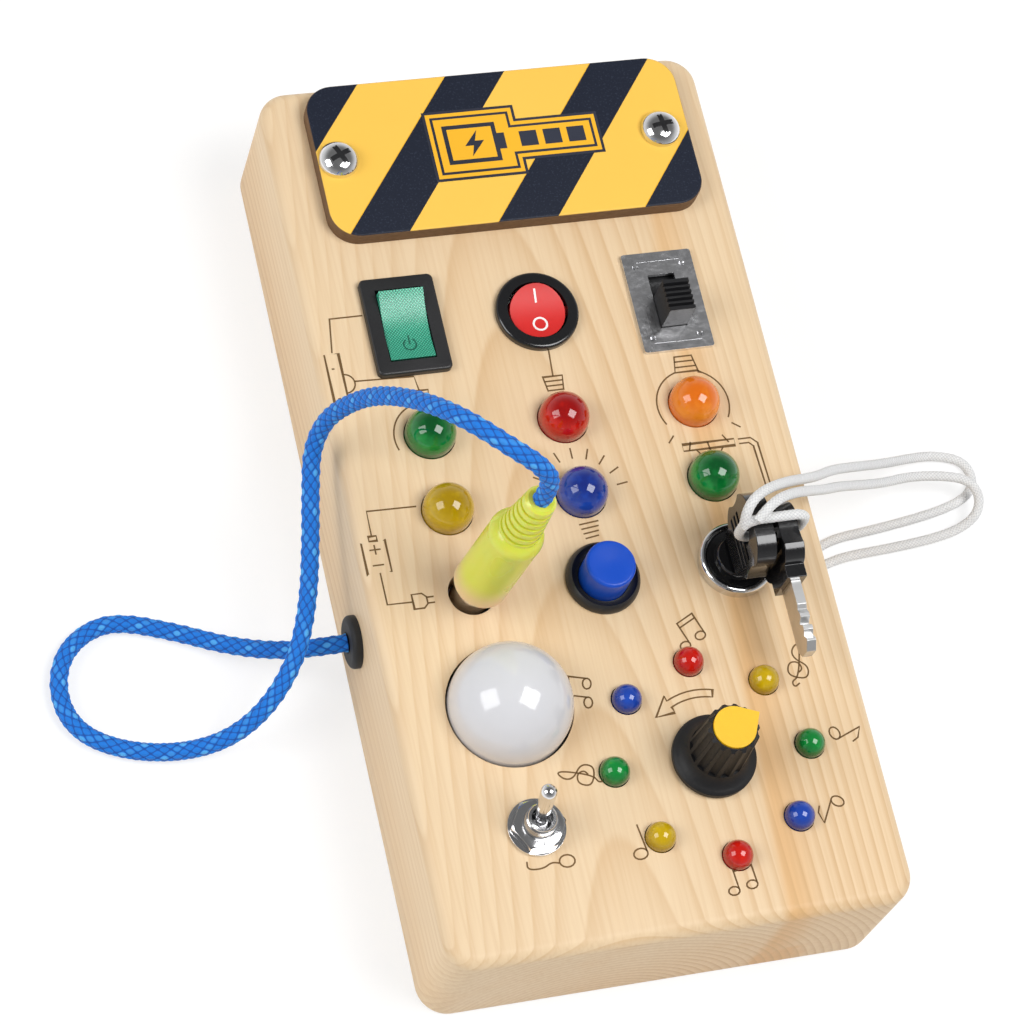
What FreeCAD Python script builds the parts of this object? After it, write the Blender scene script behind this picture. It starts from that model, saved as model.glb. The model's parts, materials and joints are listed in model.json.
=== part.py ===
"""Wooden busy board: a hollow pine block with working switches, lamps, a lock, a plug and a lanyard.

Frame: millimetres, +Z up out of the front face, +X to the right, +Y towards the striped plate.
The origin is the middle of the block's back face, on which the board lies.
"""
import FreeCAD, Part
import math
import os

V = FreeCAD.Vector
X_AXIS = V(1, 0, 0)
Y_AXIS = V(0, 1, 0)
Z_AXIS = V(0, 0, 1)

# Fits between pieces
SLIP = 0.15
RUN = 0.05
SEAT = 0.1

# Pine block
BOARD_W = 92.0
BOARD_L = 184.0
BOARD_T = 30.0
CORNER_R = 6.0
FACE_EDGE_R = 2.6
BACK_EDGE_R = 0.8
WALL = 7.0
PANEL = 7.0
POCKET_R = 4.0
FACE = BOARD_T
UNDER = BOARD_T - PANEL

# Back cover
COVER_T = 3.0
COVER_LIP = 2.8
COVER_INSET = 0.3
BOSS = 9.0
COVER_SCREW_R = 1.5
COVER_HEAD_R = 3.0
COVER_HEAD_H = 1.9
COVER_SCREW_L = 12.0
END_SCREW_IN = 4.0
MID_SCREW_IN = 3.0
MID_SCREW_DROP = 4.6
MID_BOSS = 5.6

# Striped plate and its screws
PLATE_W = 77.6
PLATE_L = 34.0
PLATE_T = 3.4
PLATE_X = 1.2
PLATE_END = 1.8
TRAY_SHIFT = 1.2
PLATE_R = 6.0
PLATE_SCREW_PITCH = 67.2
PLATE_SCREW_SHIFT = -1.0
PLATE_HEAD_R = 4.0
PLATE_HEAD_H = 2.6
PLATE_SHANK_R = 1.75
PLATE_SCREW_L = 9.0

# Battery tray
CELL_R = 5.2
CELL_L = 43.6
CELL_NUB_R = 1.9
CELL_NUB_L = 0.9
CELL_PITCH = 11.0
TRAY_WALL = 1.2
TRAY_FLANGE = 2.6
TRAY_FLANGE_T = 1.4
TRAY_DEPTH = 13.0
CONTACT_T = 0.4
CONTACT_ROOM = 3.0

# Columns and rows of the face
COLUMN = 27.0
SWITCH_ROW = 37.2
LAMP_ROW_A = 13.8
LAMP_ROW_B = -2.3
PRESS_ROW = -20.3

# Green rocker switch
ROCKER_BEZEL_W = 15.0
ROCKER_BEZEL_L = 21.0
ROCKER_BEZEL_T = 1.6
ROCKER_BODY_W = 12.8
ROCKER_BODY_L = 18.8
ROCKER_BODY_D = 13.0
ROCKER_OPEN_W = 9.4
ROCKER_OPEN_L = 15.6
ROCKER_L = 14.2
ROCKER_END_H = 3.3
ROCKER_WAIST_H = 1.9
ROCKER_SWING = 8.0
PIVOT_R = 1.0
PIVOT_L = 1.1
PIN_BITE = 0.8
PIVOT_DROP = 0.6

# Round rocker switch
ROUND_BEZEL_R = 8.4
ROUND_BEZEL_T = 1.5
ROUND_BODY_R = 7.4
ROUND_BODY_D = 13.0
ROUND_OPEN_R = 6.1
ROUND_DISC_R = 5.6
ROUND_END_H = 2.7
ROUND_WAIST_H = 1.6

# Slide switch
SLIDE_PLATE_W = 14.6
SLIDE_PLATE_L = 21.8
SLIDE_PLATE_T = 0.9
SLIDE_Y = 36.4
SLIDE_BASE_W = 12.6
SLIDE_BASE_L = 19.6
SLIDE_BASE_D = 8.0
SLIDE_KNOB_W = 5.4
SLIDE_KNOB_L = 6.8
SLIDE_KNOB_H = 7.4
SLIDE_TRAVEL = 4.8
SLIDE_FOOT = 1.3
SLIDE_FOOT_T = 1.4
SLIDE_RIBS = 6

# Push button
BUTTON_BEZEL_R = 7.3
BUTTON_BEZEL_T = 2.2
BUTTON_NECK_R = 5.9
BUTTON_NECK_L = 15.0
BUTTON_CAP_R = 4.9
BUTTON_CAP_H = 7.8
BUTTON_TRAVEL = 2.4
BUTTON_STEM_R = 1.5
BUTTON_CAP_L = 10.8
BUTTON_TAIL = 3.0
SPRING_SOLID_L = 4.6
SPRING_WIRE_R = 0.28
SPRING_R = 3.0
SPRING_TURNS = 4
BUTTON_NUT_AF = 14.0
BUTTON_NUT_T = 2.4

# Toggle switch
TOGGLE_X = -24.2
TOGGLE_Y = -67.5
TOGGLE_BUSH_R = 3.0
TOGGLE_BUSH_H = 5.8
TOGGLE_WASHER_R = 5.6
TOGGLE_WASHER_T = 0.8
TOGGLE_NUT_AF = 9.2
TOGGLE_NUT_T = 2.0
TOGGLE_CASE_W = 8.0
TOGGLE_CASE_L = 13.0
TOGGLE_CASE_D = 9.0
TOGGLE_TILT = 12.5
TOGGLE_PIVOT_H = 3.2
TOGGLE_BALL_R = 1.7
TOGGLE_TAIL = 3.4
TOGGLE_TAIL_R = 0.9
TOGGLE_PIN_R = 0.5
TOGGLE_PIN_BITE = 0.5
LEVER_L = 12.0
LEVER_FOOT_R = 1.25
LEVER_TIP_R = 1.6

# Key lock
LOCK_RING_R = 7.5
LOCK_RING_H = 2.5
LOCK_RECESS_R = 6.4
LOCK_RECESS_D = 0.9
LOCK_BODY_R = 6.0
LOCK_BODY_D = 18.0
BARREL_FACE_R = 6.2
BARREL_RISE = 1.6
BARREL_R = 3.7
BARREL_D = 17.0
LOCK_NUT_AF = 16.0
LOCK_NUT_T = 2.5

# Keys
KEY_T = 1.9
KEY_W = 6.0
KEY_SLOT_GAP = 0.12
KEY_L = 14.0
KEY_NECK = 0.8
BOW_T = 4.0
BOW_W = 15.0
BOW_H = 16.0
BOW_NECK_W = 9.0
BOW_NECK_H = 3.4
BOW_HOLE_R = 2.4
BOW_HOLE_H = 10.4
BOW_RIBS = 3
SPARE_X = 32.2
SPARE_END_Y = -15.4
SPARE_Z = 42.4

# Lanyard
LANYARD_R = 1.0
HITCH_GAP = 0.6
HITCH_CORNER_R = 3.0
KNOT_R = 3.0
KNOT_L = 8.0
KNOT_BITE = 1.6

# Rotary switch and knob
DIAL_X = 12.7
DIAL_END = 33.0
DIAL_POINTER_DEG = 22.5
SHAFT_R = 3.0
SHAFT_H = 15.2
ROTARY_BUSH_R = 4.4
ROTARY_BUSH_H = 3.4
ROTARY_NUT_AF = 10.0
ROTARY_NUT_T = 2.0
ROTARY_CASE_R = 8.4
ROTARY_CASE_D = 9.0
KNOB_GAP = 0.6
KNOB_SKIRT_R = 8.2
KNOB_RIM_H = 1.4
KNOB_SKIRT_H = 3.8
KNOB_FOOT_R = 5.6
KNOB_TOP_R = 5.0
KNOB_H = 15.6
KNOB_FLUTES = 14
KNOB_FLUTE_R = 0.9
KNOB_RECESS_R = 5.95
KNOB_RECESS_GAP = 0.3
KNOB_CAP_R = 4.1
KNOB_CAP_T = 1.2
POINTER_L = 5.8

# White dome lamp
DOME_X = -23.7
DOME_Y = -43.0
DOME_R = 12.0
DOME_RISE = 0.3
DOME_WALL = 1.3
DOME_FLANGE = 1.0
DOME_FLANGE_T = 1.3
DOME_TAIL = 8.0
DOME_BOARD_T = 1.6
DOME_BOARD_UP = 1.0
DOME_LAMP_R = 2.5
DOME_LAMP_H = 3.0
DOME_LAMP_EDGE = 1.2

# Lamps
BIG_LAMP_R = 5.0
BIG_LAMP_RISE = 1.3
SMALL_LAMP_R = 2.9
SMALL_LAMP_RISE = 0.5
LAMP_FLANGE = 0.5
LAMP_FLANGE_T = 1.0
RING_R = 19.6
RING_LAMPS = 8
LEAD_R = 0.3
LEAD_PITCH = 2.54
LAMP_BOARD_Z = 14.0
BOARD_PLATE_T = 1.6
LAMP_BOARD_MARGIN = 6.0
RING_BOARD_MARGIN = 3.2
RING_BOARD_CLEAR = 1.6
POST_HOLE_IN = 3.0
POST_HOLE_R = 1.6
CHIP_W = 10.0
CHIP_L = 6.4
CHIP_T = 1.8

# Blade terminals
TERMINAL_W = 3.0
TERMINAL_T = 0.6
TERMINAL_L = 4.5

# Plug, socket and blue cord
SOCKET_X = -25.9
SOCKET_Y = -19.5
SOCKET_LEAN = 5.8
SOCKET_HOLE_R = 4.65
SOCKET_R = 3.8
SOCKET_RISE = 3.2
SOCKET_TAIL = 13.0
SOCKET_NUT_AF = 11.0
SOCKET_NUT_T = 2.0
SOCKET_BODY_R = 5.0
SOCKET_BODY_L = 6.0
PIN_R = 2.0
PIN_L = 13.5
SHELL_R = 5.4
SHELL_L = 37.6
SHELL_BARREL_L = 21.5
SHELL_NECK_R = 4.1
SHELL_TOP_R = 3.0
SHELL_GAP = 1.2
SHELL_RIBS = 6
CORD_R = 1.75
GROMMET_Y = -20.4
GROMMET_Z = 14.2
GROMMET_R = 5.2
GROMMET_T = 1.9
GROMMET_NECK_R = 3.6

PIVOT_Z = FACE - PIVOT_DROP
BUTTON_LIFT = BUTTON_TRAVEL + SPRING_SOLID_L
LEAN_PIVOT_Z = FACE - PANEL / 2
SLANT = math.sqrt(0.5)
DRAWN_W = 92.0
ACROSS = BOARD_W / DRAWN_W
DIAL_X *= ACROSS
DOME_X *= ACROSS
DIAL_Y = DIAL_END - BOARD_L / 2
PLATE_Y = BOARD_L / 2 - PLATE_L / 2 - PLATE_END
TRAY_Y = PLATE_Y - TRAY_SHIFT
END_SCREW_X = BOARD_W / 2 - WALL - END_SCREW_IN
END_SCREW_Y = BOARD_L / 2 - WALL - END_SCREW_IN
MID_SCREW_X = BOARD_W / 2 - WALL - MID_SCREW_IN
MID_SCREW_Y = SWITCH_ROW - ROCKER_BODY_L / 2 - MID_SCREW_DROP
PARTS = {}


def block(width, length, height, x, y, z):
    """A box centred on x, y with its base at z."""
    return Part.makeBox(width, length, height, V(x - width / 2, y - length / 2, z))


def rounded_block(width, length, height, radius, x, y, z):
    """A box whose four upright edges are rounded."""
    body = block(width, length, height, x, y, z)
    upright = [e for e in body.Edges if abs(e.Vertexes[0].Z - e.Vertexes[-1].Z) > height / 2]
    return body.makeFillet(radius, upright)


def rod(radius, height, x, y, z):
    """An upright cylinder with its base at z."""
    return Part.makeCylinder(radius, height, V(x, y, z))


def edges_at(shape, height, tolerance=1e-4):
    """The edges that lie wholly at one height."""
    flat = []
    for edge in shape.Edges:
        box = edge.BoundBox
        if abs(box.ZMin - height) < tolerance and abs(box.ZMax - height) < tolerance:
            flat.append(edge)
    return flat


def soften(shape, radius, height):
    """Round the edges at one height."""
    return shape.makeFillet(radius, edges_at(shape, height))


def turned(steps, x, y):
    """A solid turned about an upright axis through x, y.

    Each step is (radius, z) for a straight line or ((radius, z), (radius, z)) for an arc
    through its first point to its second. The outline closes along its first point.
    """
    edges = []
    here = V(steps[0][0], 0, steps[0][1])
    for step in steps[1:]:
        if isinstance(step[0], tuple):
            middle = V(step[0][0], 0, step[0][1])
            there = V(step[1][0], 0, step[1][1])
            edges.append(Part.Arc(here, middle, there).toShape())
        else:
            there = V(step[0], 0, step[1])
            edges.append(Part.makeLine(here, there))
        here = there
    start = V(steps[0][0], 0, steps[0][1])
    if (here - start).Length > 1e-6:
        edges.append(Part.makeLine(here, start))
    solid = Part.Face(Part.Wire(edges)).revolve(V(0, 0, 0), Z_AXIS, 360)
    solid.translate(V(x, y, 0))
    return solid


def hex_nut(across, thickness, bore, x, y, z):
    """A hexagon nut with chamfered corners and a plain bore."""
    corner = across / math.sqrt(3)
    points = []
    for i in range(7):
        turn = math.radians(60 * i)
        points.append(V(x + corner * math.cos(turn), y + corner * math.sin(turn), z))
    prism = Part.Face(Part.makePolygon(points)).extrude(V(0, 0, thickness))
    slope = (corner - across / 2) * 0.9
    rim = across / 2 + slope
    bevel = turned([(0, z), (rim - slope, z), (rim, z + slope / 2), (rim, z + thickness - slope / 2),
                    (rim - slope, z + thickness), (0, z + thickness)], x, y)
    return prism.common(bevel).cut(rod(bore, thickness, x, y, z))


def extruded_yz(points, width, x):
    """A closed outline in the YZ plane, extruded along X and centred on x."""
    corners = [V(x - width / 2, y, z) for y, z in points]
    outline = Part.makePolygon(corners + [corners[0]])
    return Part.Face(outline).extrude(V(width, 0, 0))


def tube_path(points):
    """Straight runs joined by tangent arcs; gives the wire and its smallest arc radius."""
    knots = [V(*p) for p in points]
    edges = []
    here = knots[0]
    least = 1e9
    for before, corner, after in zip(knots, knots[1:], knots[2:]):
        inward = corner - before
        outward = after - corner
        shorter = 0.45 * min(inward.Length, outward.Length)
        inward.normalize()
        outward.normalize()
        turn = inward.getAngle(outward)
        radius = shorter / math.tan(turn / 2)
        least = min(least, radius)
        start = corner - inward * shorter
        end = corner + outward * shorter
        bisector = outward - inward
        bisector.normalize()
        middle = corner + bisector * (radius / math.cos(turn / 2) - radius)
        edges.append(Part.makeLine(here, start))
        edges.append(Part.Arc(start, middle, end).toShape())
        here = end
    edges.append(Part.makeLine(here, knots[-1]))
    return Part.Wire(edges), least


def cord_tube(name, points, radius):
    """A round cord along its route, with its volume and radii reported."""
    path, least = tube_path(points)
    first = V(*points[1]) - V(*points[0])
    ring = Part.Wire(Part.makeCircle(radius, V(*points[0]), first))
    tube = path.makePipeShell([ring], True, False)
    share = tube.Volume / (math.pi * radius ** 2 * path.Length)
    print(f"{name}: length {path.Length:.1f}, smallest radius {least:.1f}, volume share {share:.4f}")
    return tube


def leaning(shape):
    """Lean a piece of the socket or plug about the socket's middle."""
    shape.rotate(V(SOCKET_X, SOCKET_Y, LEAN_PIVOT_Z), Y_AXIS, SOCKET_LEAN)
    return shape


# Places that several pieces share
END_SCREWS = [(sx * END_SCREW_X, sy * END_SCREW_Y) for sx in (-1, 1) for sy in (-1, 1)]
MID_SCREWS = [(sx * MID_SCREW_X, MID_SCREW_Y) for sx in (-1, 1)]
PLATE_SCREWS = [(PLATE_X + PLATE_SCREW_SHIFT + s * PLATE_SCREW_PITCH / 2, PLATE_Y) for s in (-1, 1)]
BIG_LAMPS = {
    "lamps_green": [(-COLUMN, LAMP_ROW_A), (COLUMN, LAMP_ROW_B)],
    "lamp_red": [(0.0, LAMP_ROW_A)],
    "lamp_orange": [(COLUMN, LAMP_ROW_A)],
    "lamp_yellow": [(-COLUMN, LAMP_ROW_B)],
    "lamp_blue": [(0.0, LAMP_ROW_B)],
}
BIG_PLACES = [place for places in BIG_LAMPS.values() for place in places]
RING_COLOURS = ["green", "yellow", "red", "blue"]
RING_PLACES = []
for lamp_index in range(RING_LAMPS):
    lamp_turn = 2 * math.pi * lamp_index / RING_LAMPS
    RING_PLACES.append((DIAL_X + RING_R * math.cos(lamp_turn), DIAL_Y + RING_R * math.sin(lamp_turn)))
COVER_W = BOARD_W - 2 * WALL + 2 * COVER_LIP
COVER_L = BOARD_L - 2 * WALL + 2 * COVER_LIP
TRAY_W = CELL_L + CELL_NUB_L + 2 * CONTACT_ROOM + 2 * TRAY_WALL
TRAY_L = 2 * CELL_PITCH + 2 * TRAY_WALL
TRAY_R = 2.0
DOME_HOLE_R = DOME_R + 0.4


def wooden_body():
    """The pine block, pocketed from the back, with every opening of its face."""
    body = rounded_block(BOARD_W, BOARD_L, BOARD_T, CORNER_R, 0, 0, 0)
    body = soften(body, FACE_EDGE_R, FACE)
    body = soften(body, BACK_EDGE_R, 0)
    pocket = rounded_block(BOARD_W - 2 * WALL, BOARD_L - 2 * WALL, UNDER, POCKET_R, 0, 0, 0)
    for x, y in END_SCREWS:
        reach_x = BOARD_W / 2 - WALL - abs(x) + BOSS / 2
        reach_y = BOARD_L / 2 - WALL - abs(y) + BOSS / 2
        side_x = math.copysign(BOARD_W / 2 - WALL - reach_x / 2, x)
        side_y = math.copysign(BOARD_L / 2 - WALL - reach_y / 2, y)
        pocket = pocket.cut(block(reach_x, reach_y, UNDER, side_x, side_y, 0))
    for x, y in MID_SCREWS:
        reach = BOARD_W / 2 - WALL - abs(x) + MID_BOSS / 2
        side = math.copysign(BOARD_W / 2 - WALL - reach / 2, x)
        pocket = pocket.cut(block(reach, MID_BOSS, UNDER, side, y, 0))
    rebate_d = COVER_T + COVER_INSET
    rebate = rounded_block(COVER_W + 2 * SLIP, COVER_L + 2 * SLIP, rebate_d, POCKET_R, 0, 0, 0)
    cuts = [pocket, rebate]
    tray_hole = rounded_block(TRAY_W + 2 * SLIP, TRAY_L + 2 * SLIP, PANEL, TRAY_R, PLATE_X, TRAY_Y, UNDER)
    ledge_w = TRAY_W + 2 * TRAY_FLANGE + 2 * SLIP
    ledge_l = TRAY_L + 2 * TRAY_FLANGE + 2 * SLIP
    ledge = rounded_block(ledge_w, ledge_l, TRAY_FLANGE_T, TRAY_R, PLATE_X, TRAY_Y, FACE - TRAY_FLANGE_T)
    cuts += [tray_hole, ledge]
    rocker_w = ROCKER_BODY_W + 2 * SLIP
    rocker_l = ROCKER_BODY_L + 2 * SLIP
    cuts.append(block(rocker_w, rocker_l, PANEL, -COLUMN, SWITCH_ROW, UNDER))
    cuts.append(rod(ROUND_BODY_R + SLIP, PANEL, 0, SWITCH_ROW, UNDER))
    slide_w = SLIDE_BASE_W + 2 * SLIP
    slide_l = SLIDE_BASE_L + 2 * SLIP
    cuts.append(block(slide_w, slide_l, PANEL, COLUMN, SLIDE_Y, UNDER))
    for x, y in BIG_PLACES:
        cuts.append(rod(BIG_LAMP_R + SLIP, PANEL, x, y, UNDER))
    for x, y in RING_PLACES:
        cuts.append(rod(SMALL_LAMP_R + SLIP, PANEL, x, y, UNDER))
    cuts.append(rod(BUTTON_NECK_R + SLIP, PANEL, 0, PRESS_ROW, UNDER))
    cuts.append(rod(LOCK_BODY_R + SLIP, PANEL, COLUMN, PRESS_ROW, UNDER))
    cuts.append(rod(SOCKET_HOLE_R, PANEL, SOCKET_X, SOCKET_Y, UNDER))
    cuts.append(rod(DOME_HOLE_R, PANEL, DOME_X, DOME_Y, UNDER))
    cuts.append(rod(TOGGLE_BUSH_R + SLIP, PANEL, TOGGLE_X, TOGGLE_Y, UNDER))
    cuts.append(rod(ROTARY_BUSH_R + SLIP, PANEL, DIAL_X, DIAL_Y, UNDER))
    for x, y in PLATE_SCREWS:
        depth = PLATE_SCREW_L - PLATE_T
        cuts.append(rod(PLATE_SHANK_R + RUN, depth, x, y, FACE - depth))
    for x, y in END_SCREWS + MID_SCREWS:
        depth = COVER_SCREW_L + COVER_INSET
        cuts.append(rod(COVER_SCREW_R + RUN, depth, x, y, 0))
    wall_hole = Part.makeCylinder(GROMMET_NECK_R, WALL, V(-BOARD_W / 2, GROMMET_Y, GROMMET_Z), X_AXIS)
    cuts.append(wall_hole)
    for cut in cuts:
        body = body.cut(cut)
    return body


def back_cover():
    """The thin plywood cover with six countersunk holes."""
    cover = rounded_block(COVER_W, COVER_L, COVER_T, POCKET_R, 0, 0, COVER_INSET)
    for x, y in END_SCREWS + MID_SCREWS:
        cover = cover.cut(rod(COVER_SCREW_R + SEAT, COVER_T, x, y, COVER_INSET))
        sink = Part.makeCone(COVER_HEAD_R + SEAT, COVER_SCREW_R + SEAT, COVER_HEAD_H, V(x, y, COVER_INSET))
        cover = cover.cut(sink)
    return cover


def cross_recess(radius, depth, x, y, z, upward):
    """Two crossed slots for a screwdriver, cut from a head's face at z."""
    base = z - depth if upward else z
    one = block(2 * radius, radius * 0.42, depth, x, y, base)
    two = block(radius * 0.42, 2 * radius, depth, x, y, base)
    return one.fuse(two)


def back_cover_screws():
    """Six countersunk wood screws."""
    screws = []
    for x, y in END_SCREWS + MID_SCREWS:
        base = COVER_INSET
        head = Part.makeCone(COVER_HEAD_R, COVER_SCREW_R, COVER_HEAD_H, V(x, y, base))
        tip = COVER_SCREW_R * 1.4
        shank = rod(COVER_SCREW_R, COVER_SCREW_L - tip - COVER_HEAD_H, x, y, base + COVER_HEAD_H)
        point = Part.makeCone(COVER_SCREW_R, 0.2, tip, V(x, y, base + COVER_SCREW_L - tip))
        screw = head.fuse(shank).fuse(point).removeSplitter()
        screws.append(screw.cut(cross_recess(1.6, 1.0, x, y, base, False)))
    return Part.makeCompound(screws)


def front_plate():
    """The striped plate over the battery bay."""
    plate = rounded_block(PLATE_W, PLATE_L, PLATE_T, PLATE_R, PLATE_X, PLATE_Y, FACE)
    plate = soften(plate, 0.5, FACE + PLATE_T)
    for x, y in PLATE_SCREWS:
        plate = plate.cut(rod(PLATE_SHANK_R + SEAT, PLATE_T, x, y, FACE))
    return plate


def plate_screws():
    """Two pan-head screws with a cross recess."""
    screws = []
    for x, y in PLATE_SCREWS:
        seat = FACE + PLATE_T
        top = seat + PLATE_HEAD_H
        point = seat - PLATE_SCREW_L
        screw = turned([(0, point), (PLATE_SHANK_R * 0.3, point), (PLATE_SHANK_R, point + 2.0),
                        (PLATE_SHANK_R, seat), (PLATE_HEAD_R, seat), (PLATE_HEAD_R, seat + 1.0),
                        ((PLATE_HEAD_R * 0.72, top - 0.35), (0, top))], x, y)
        screws.append(screw.cut(cross_recess(2.0, 1.5, x, y, top, True)))
    return Part.makeCompound(screws)


def battery_tray():
    """The open tray with a rim that hangs in the bay."""
    top = FACE
    rim_w = TRAY_W + 2 * TRAY_FLANGE
    rim_l = TRAY_L + 2 * TRAY_FLANGE
    rim = rounded_block(rim_w, rim_l, TRAY_FLANGE_T, TRAY_R, PLATE_X, TRAY_Y, top - TRAY_FLANGE_T)
    tray = rim.fuse(rounded_block(TRAY_W, TRAY_L, TRAY_DEPTH, TRAY_R, PLATE_X, TRAY_Y, top - TRAY_DEPTH))
    tray = tray.removeSplitter()
    hollow_w = TRAY_W - 2 * TRAY_WALL
    hollow_l = TRAY_L - 2 * TRAY_WALL
    floor = top - TRAY_DEPTH + TRAY_WALL
    tray = tray.cut(block(hollow_w, hollow_l, TRAY_DEPTH, PLATE_X, TRAY_Y, floor))
    rest = CELL_PITCH - 2 * CELL_R
    divider = block(hollow_w - 2 * CONTACT_ROOM, rest, CELL_R, PLATE_X, TRAY_Y, floor)
    return tray.fuse(divider).removeSplitter()


def cell_places():
    """Centre line height and Y of each cell, with the way its positive end points."""
    height = FACE - TRAY_DEPTH + TRAY_WALL + CELL_R + SEAT
    return [(TRAY_Y - CELL_PITCH / 2, height, 1), (TRAY_Y + CELL_PITCH / 2, height, -1)]


def battery_cells():
    """Two AAA cells, each with its raised positive end."""
    cells = []
    for y, z, way in cell_places():
        cell = turned([(0, -CELL_L / 2), (CELL_R - 0.4, -CELL_L / 2), (CELL_R, 0.4 - CELL_L / 2),
                       (CELL_R, CELL_L / 2 - 0.4), (CELL_R - 0.4, CELL_L / 2), (CELL_NUB_R, CELL_L / 2),
                       (CELL_NUB_R, CELL_L / 2 + CELL_NUB_L), (0, CELL_L / 2 + CELL_NUB_L)], 0, 0)
        cell.rotate(V(0, 0, 0), Y_AXIS, 90 * way)
        cell.translate(V(PLATE_X, y, z))
        cells.append(cell)
    return Part.makeCompound(cells)


def battery_contacts():
    """Bent leaf contacts: one pair at the far end is a single bridge."""
    leaves = []
    inner = TRAY_W / 2 - TRAY_WALL
    floor = FACE - TRAY_DEPTH + TRAY_WALL
    height = 2 * CELL_R - 1.0
    for side in (-1, 1):
        wall_x = PLATE_X + side * (inner - CONTACT_T / 2)
        if side > 0:
            leaves.append(block(CONTACT_T, 2 * CELL_PITCH - 3.0, height, wall_x, TRAY_Y, floor))
        for y, z, way in cell_places():
            if side < 0:
                leaves.append(block(CONTACT_T, CELL_PITCH - 3.0, height, wall_x, y, floor))
            end = CELL_L / 2 + (CELL_NUB_L if way == side else 0)
            reach = inner - CONTACT_T - end - SEAT
            boss = Part.makeCone(3.0, 1.4, reach, V(wall_x - side * CONTACT_T / 2, y, z), V(-side, 0, 0))
            leaves.append(boss)
    whole = leaves[0]
    for leaf in leaves[1:]:
        whole = whole.fuse(leaf)
    return whole.removeSplitter()


def saddle(half_length, end_height, waist_height, keel, width, x, y):
    """A rocker with a hollow top, its round keel below the pivot line at PIVOT_Z."""
    left = V(x - width / 2, y - half_length, PIVOT_Z + end_height)
    dip = V(x - width / 2, y, PIVOT_Z + waist_height)
    right = V(x - width / 2, y + half_length, PIVOT_Z + end_height)
    low_right = V(x - width / 2, y + half_length, PIVOT_Z - 0.6)
    low = V(x - width / 2, y, PIVOT_Z - keel)
    low_left = V(x - width / 2, y - half_length, PIVOT_Z - 0.6)
    top = Part.Arc(left, dip, right).toShape()
    under = Part.Arc(low_right, low, low_left).toShape()
    outline = Part.Wire([top, Part.makeLine(right, low_right), under, Part.makeLine(low_left, left)])
    return Part.Face(outline).extrude(V(width, 0, 0))


def pivot_pins(width, x, y):
    """One round pin through a rocker, standing out on both sides."""
    span = width + 2 * PIVOT_L
    return Part.makeCylinder(PIVOT_R, span, V(x - span / 2, y, PIVOT_Z), X_AXIS)


def rocker_housing():
    """The black bezel and body of the green rocker switch."""
    x, y = -COLUMN, SWITCH_ROW
    bezel = rounded_block(ROCKER_BEZEL_W, ROCKER_BEZEL_L, ROCKER_BEZEL_T, 1.2, x, y, FACE)
    bezel = soften(bezel, 0.5, FACE + ROCKER_BEZEL_T)
    depth = ROCKER_BODY_D
    body = block(ROCKER_BODY_W, ROCKER_BODY_L, depth, x, y, FACE - depth)
    for side in (-1, 1):
        clip_y = y + side * (ROCKER_BODY_L / 2)
        clip = extruded_yz([(clip_y, UNDER - 0.1), (clip_y + side * 0.9, UNDER - 0.4),
                            (clip_y, UNDER - 4.0)], 5.0, x)
        body = body.fuse(clip)
    body = bezel.fuse(body).removeSplitter()
    well_d = 9.0
    well = block(ROCKER_OPEN_W, ROCKER_OPEN_L, well_d + ROCKER_BEZEL_T, x, y, FACE - well_d)
    span = ROCKER_OPEN_W + 2 * PIVOT_L + 2 * SEAT
    holes = Part.makeCylinder(PIVOT_R + RUN, span, V(x - span / 2, y, PIVOT_Z), X_AXIS)
    return body.cut(well).cut(holes)


def green_rocker():
    """The clear green rocker, its lower end pressed in."""
    x, y = -COLUMN, SWITCH_ROW
    width = ROCKER_OPEN_W - 0.4
    body = saddle(ROCKER_L / 2, ROCKER_END_H, ROCKER_WAIST_H, 6.0, width, x, y)
    body = body.fuse(pivot_pins(width, x, y)).removeSplitter()
    body.rotate(V(x, y, PIVOT_Z), X_AXIS, ROCKER_SWING)
    return body


def round_housing():
    """The round bezel and body of the red rocker switch."""
    y = SWITCH_ROW
    rim = ROUND_BEZEL_R
    top = FACE + ROUND_BEZEL_T
    depth = ROUND_BODY_D
    body = turned([(0, FACE - depth), (ROUND_BODY_R, FACE - depth), (ROUND_BODY_R, FACE), (rim, FACE),
                   (rim, top - 0.7), ((rim - 0.2, top - 0.2), (rim - 0.7, top)), (0, top)], 0, y)
    for side in (-1, 1):
        flat = block(4.0, 2 * ROUND_BODY_R, depth - PANEL, side * (ROUND_BODY_R + 1.2), y, FACE - depth)
        body = body.cut(flat)
    well_d = 8.0
    body = body.cut(rod(ROUND_OPEN_R, well_d + ROUND_BEZEL_T, 0, y, FACE - well_d))
    reach = 2 * (ROUND_OPEN_R + PIN_BITE + SEAT)
    hole = Part.makeCylinder(PIVOT_R + RUN, reach, V(-reach / 2, y, PIVOT_Z), X_AXIS)
    return body.cut(hole)


def red_rocker():
    """The round red rocker, its lower half pressed in."""
    y = SWITCH_ROW
    body = saddle(ROUND_DISC_R, ROUND_END_H, ROUND_WAIST_H, 5.0, 2 * ROUND_DISC_R, 0, y)
    body = body.common(rod(ROUND_DISC_R, 4 * ROUND_DISC_R, 0, y, PIVOT_Z - 2 * ROUND_DISC_R))
    reach = 2 * (ROUND_OPEN_R + PIN_BITE)
    pin = Part.makeCylinder(PIVOT_R, reach, V(-reach / 2, y, PIVOT_Z), X_AXIS)
    body = body.fuse(pin).removeSplitter()
    body.rotate(V(0, y, PIVOT_Z), X_AXIS, ROCKER_SWING)
    return body


SLIDE_SLOT_L = SLIDE_KNOB_L + SLIDE_TRAVEL + 2 * SEAT
SLIDE_KNOB_Y = SLIDE_Y - SLIDE_TRAVEL / 2
SLIDE_FLOOR = FACE - SLIDE_FOOT_T - 2 * SEAT


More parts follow.
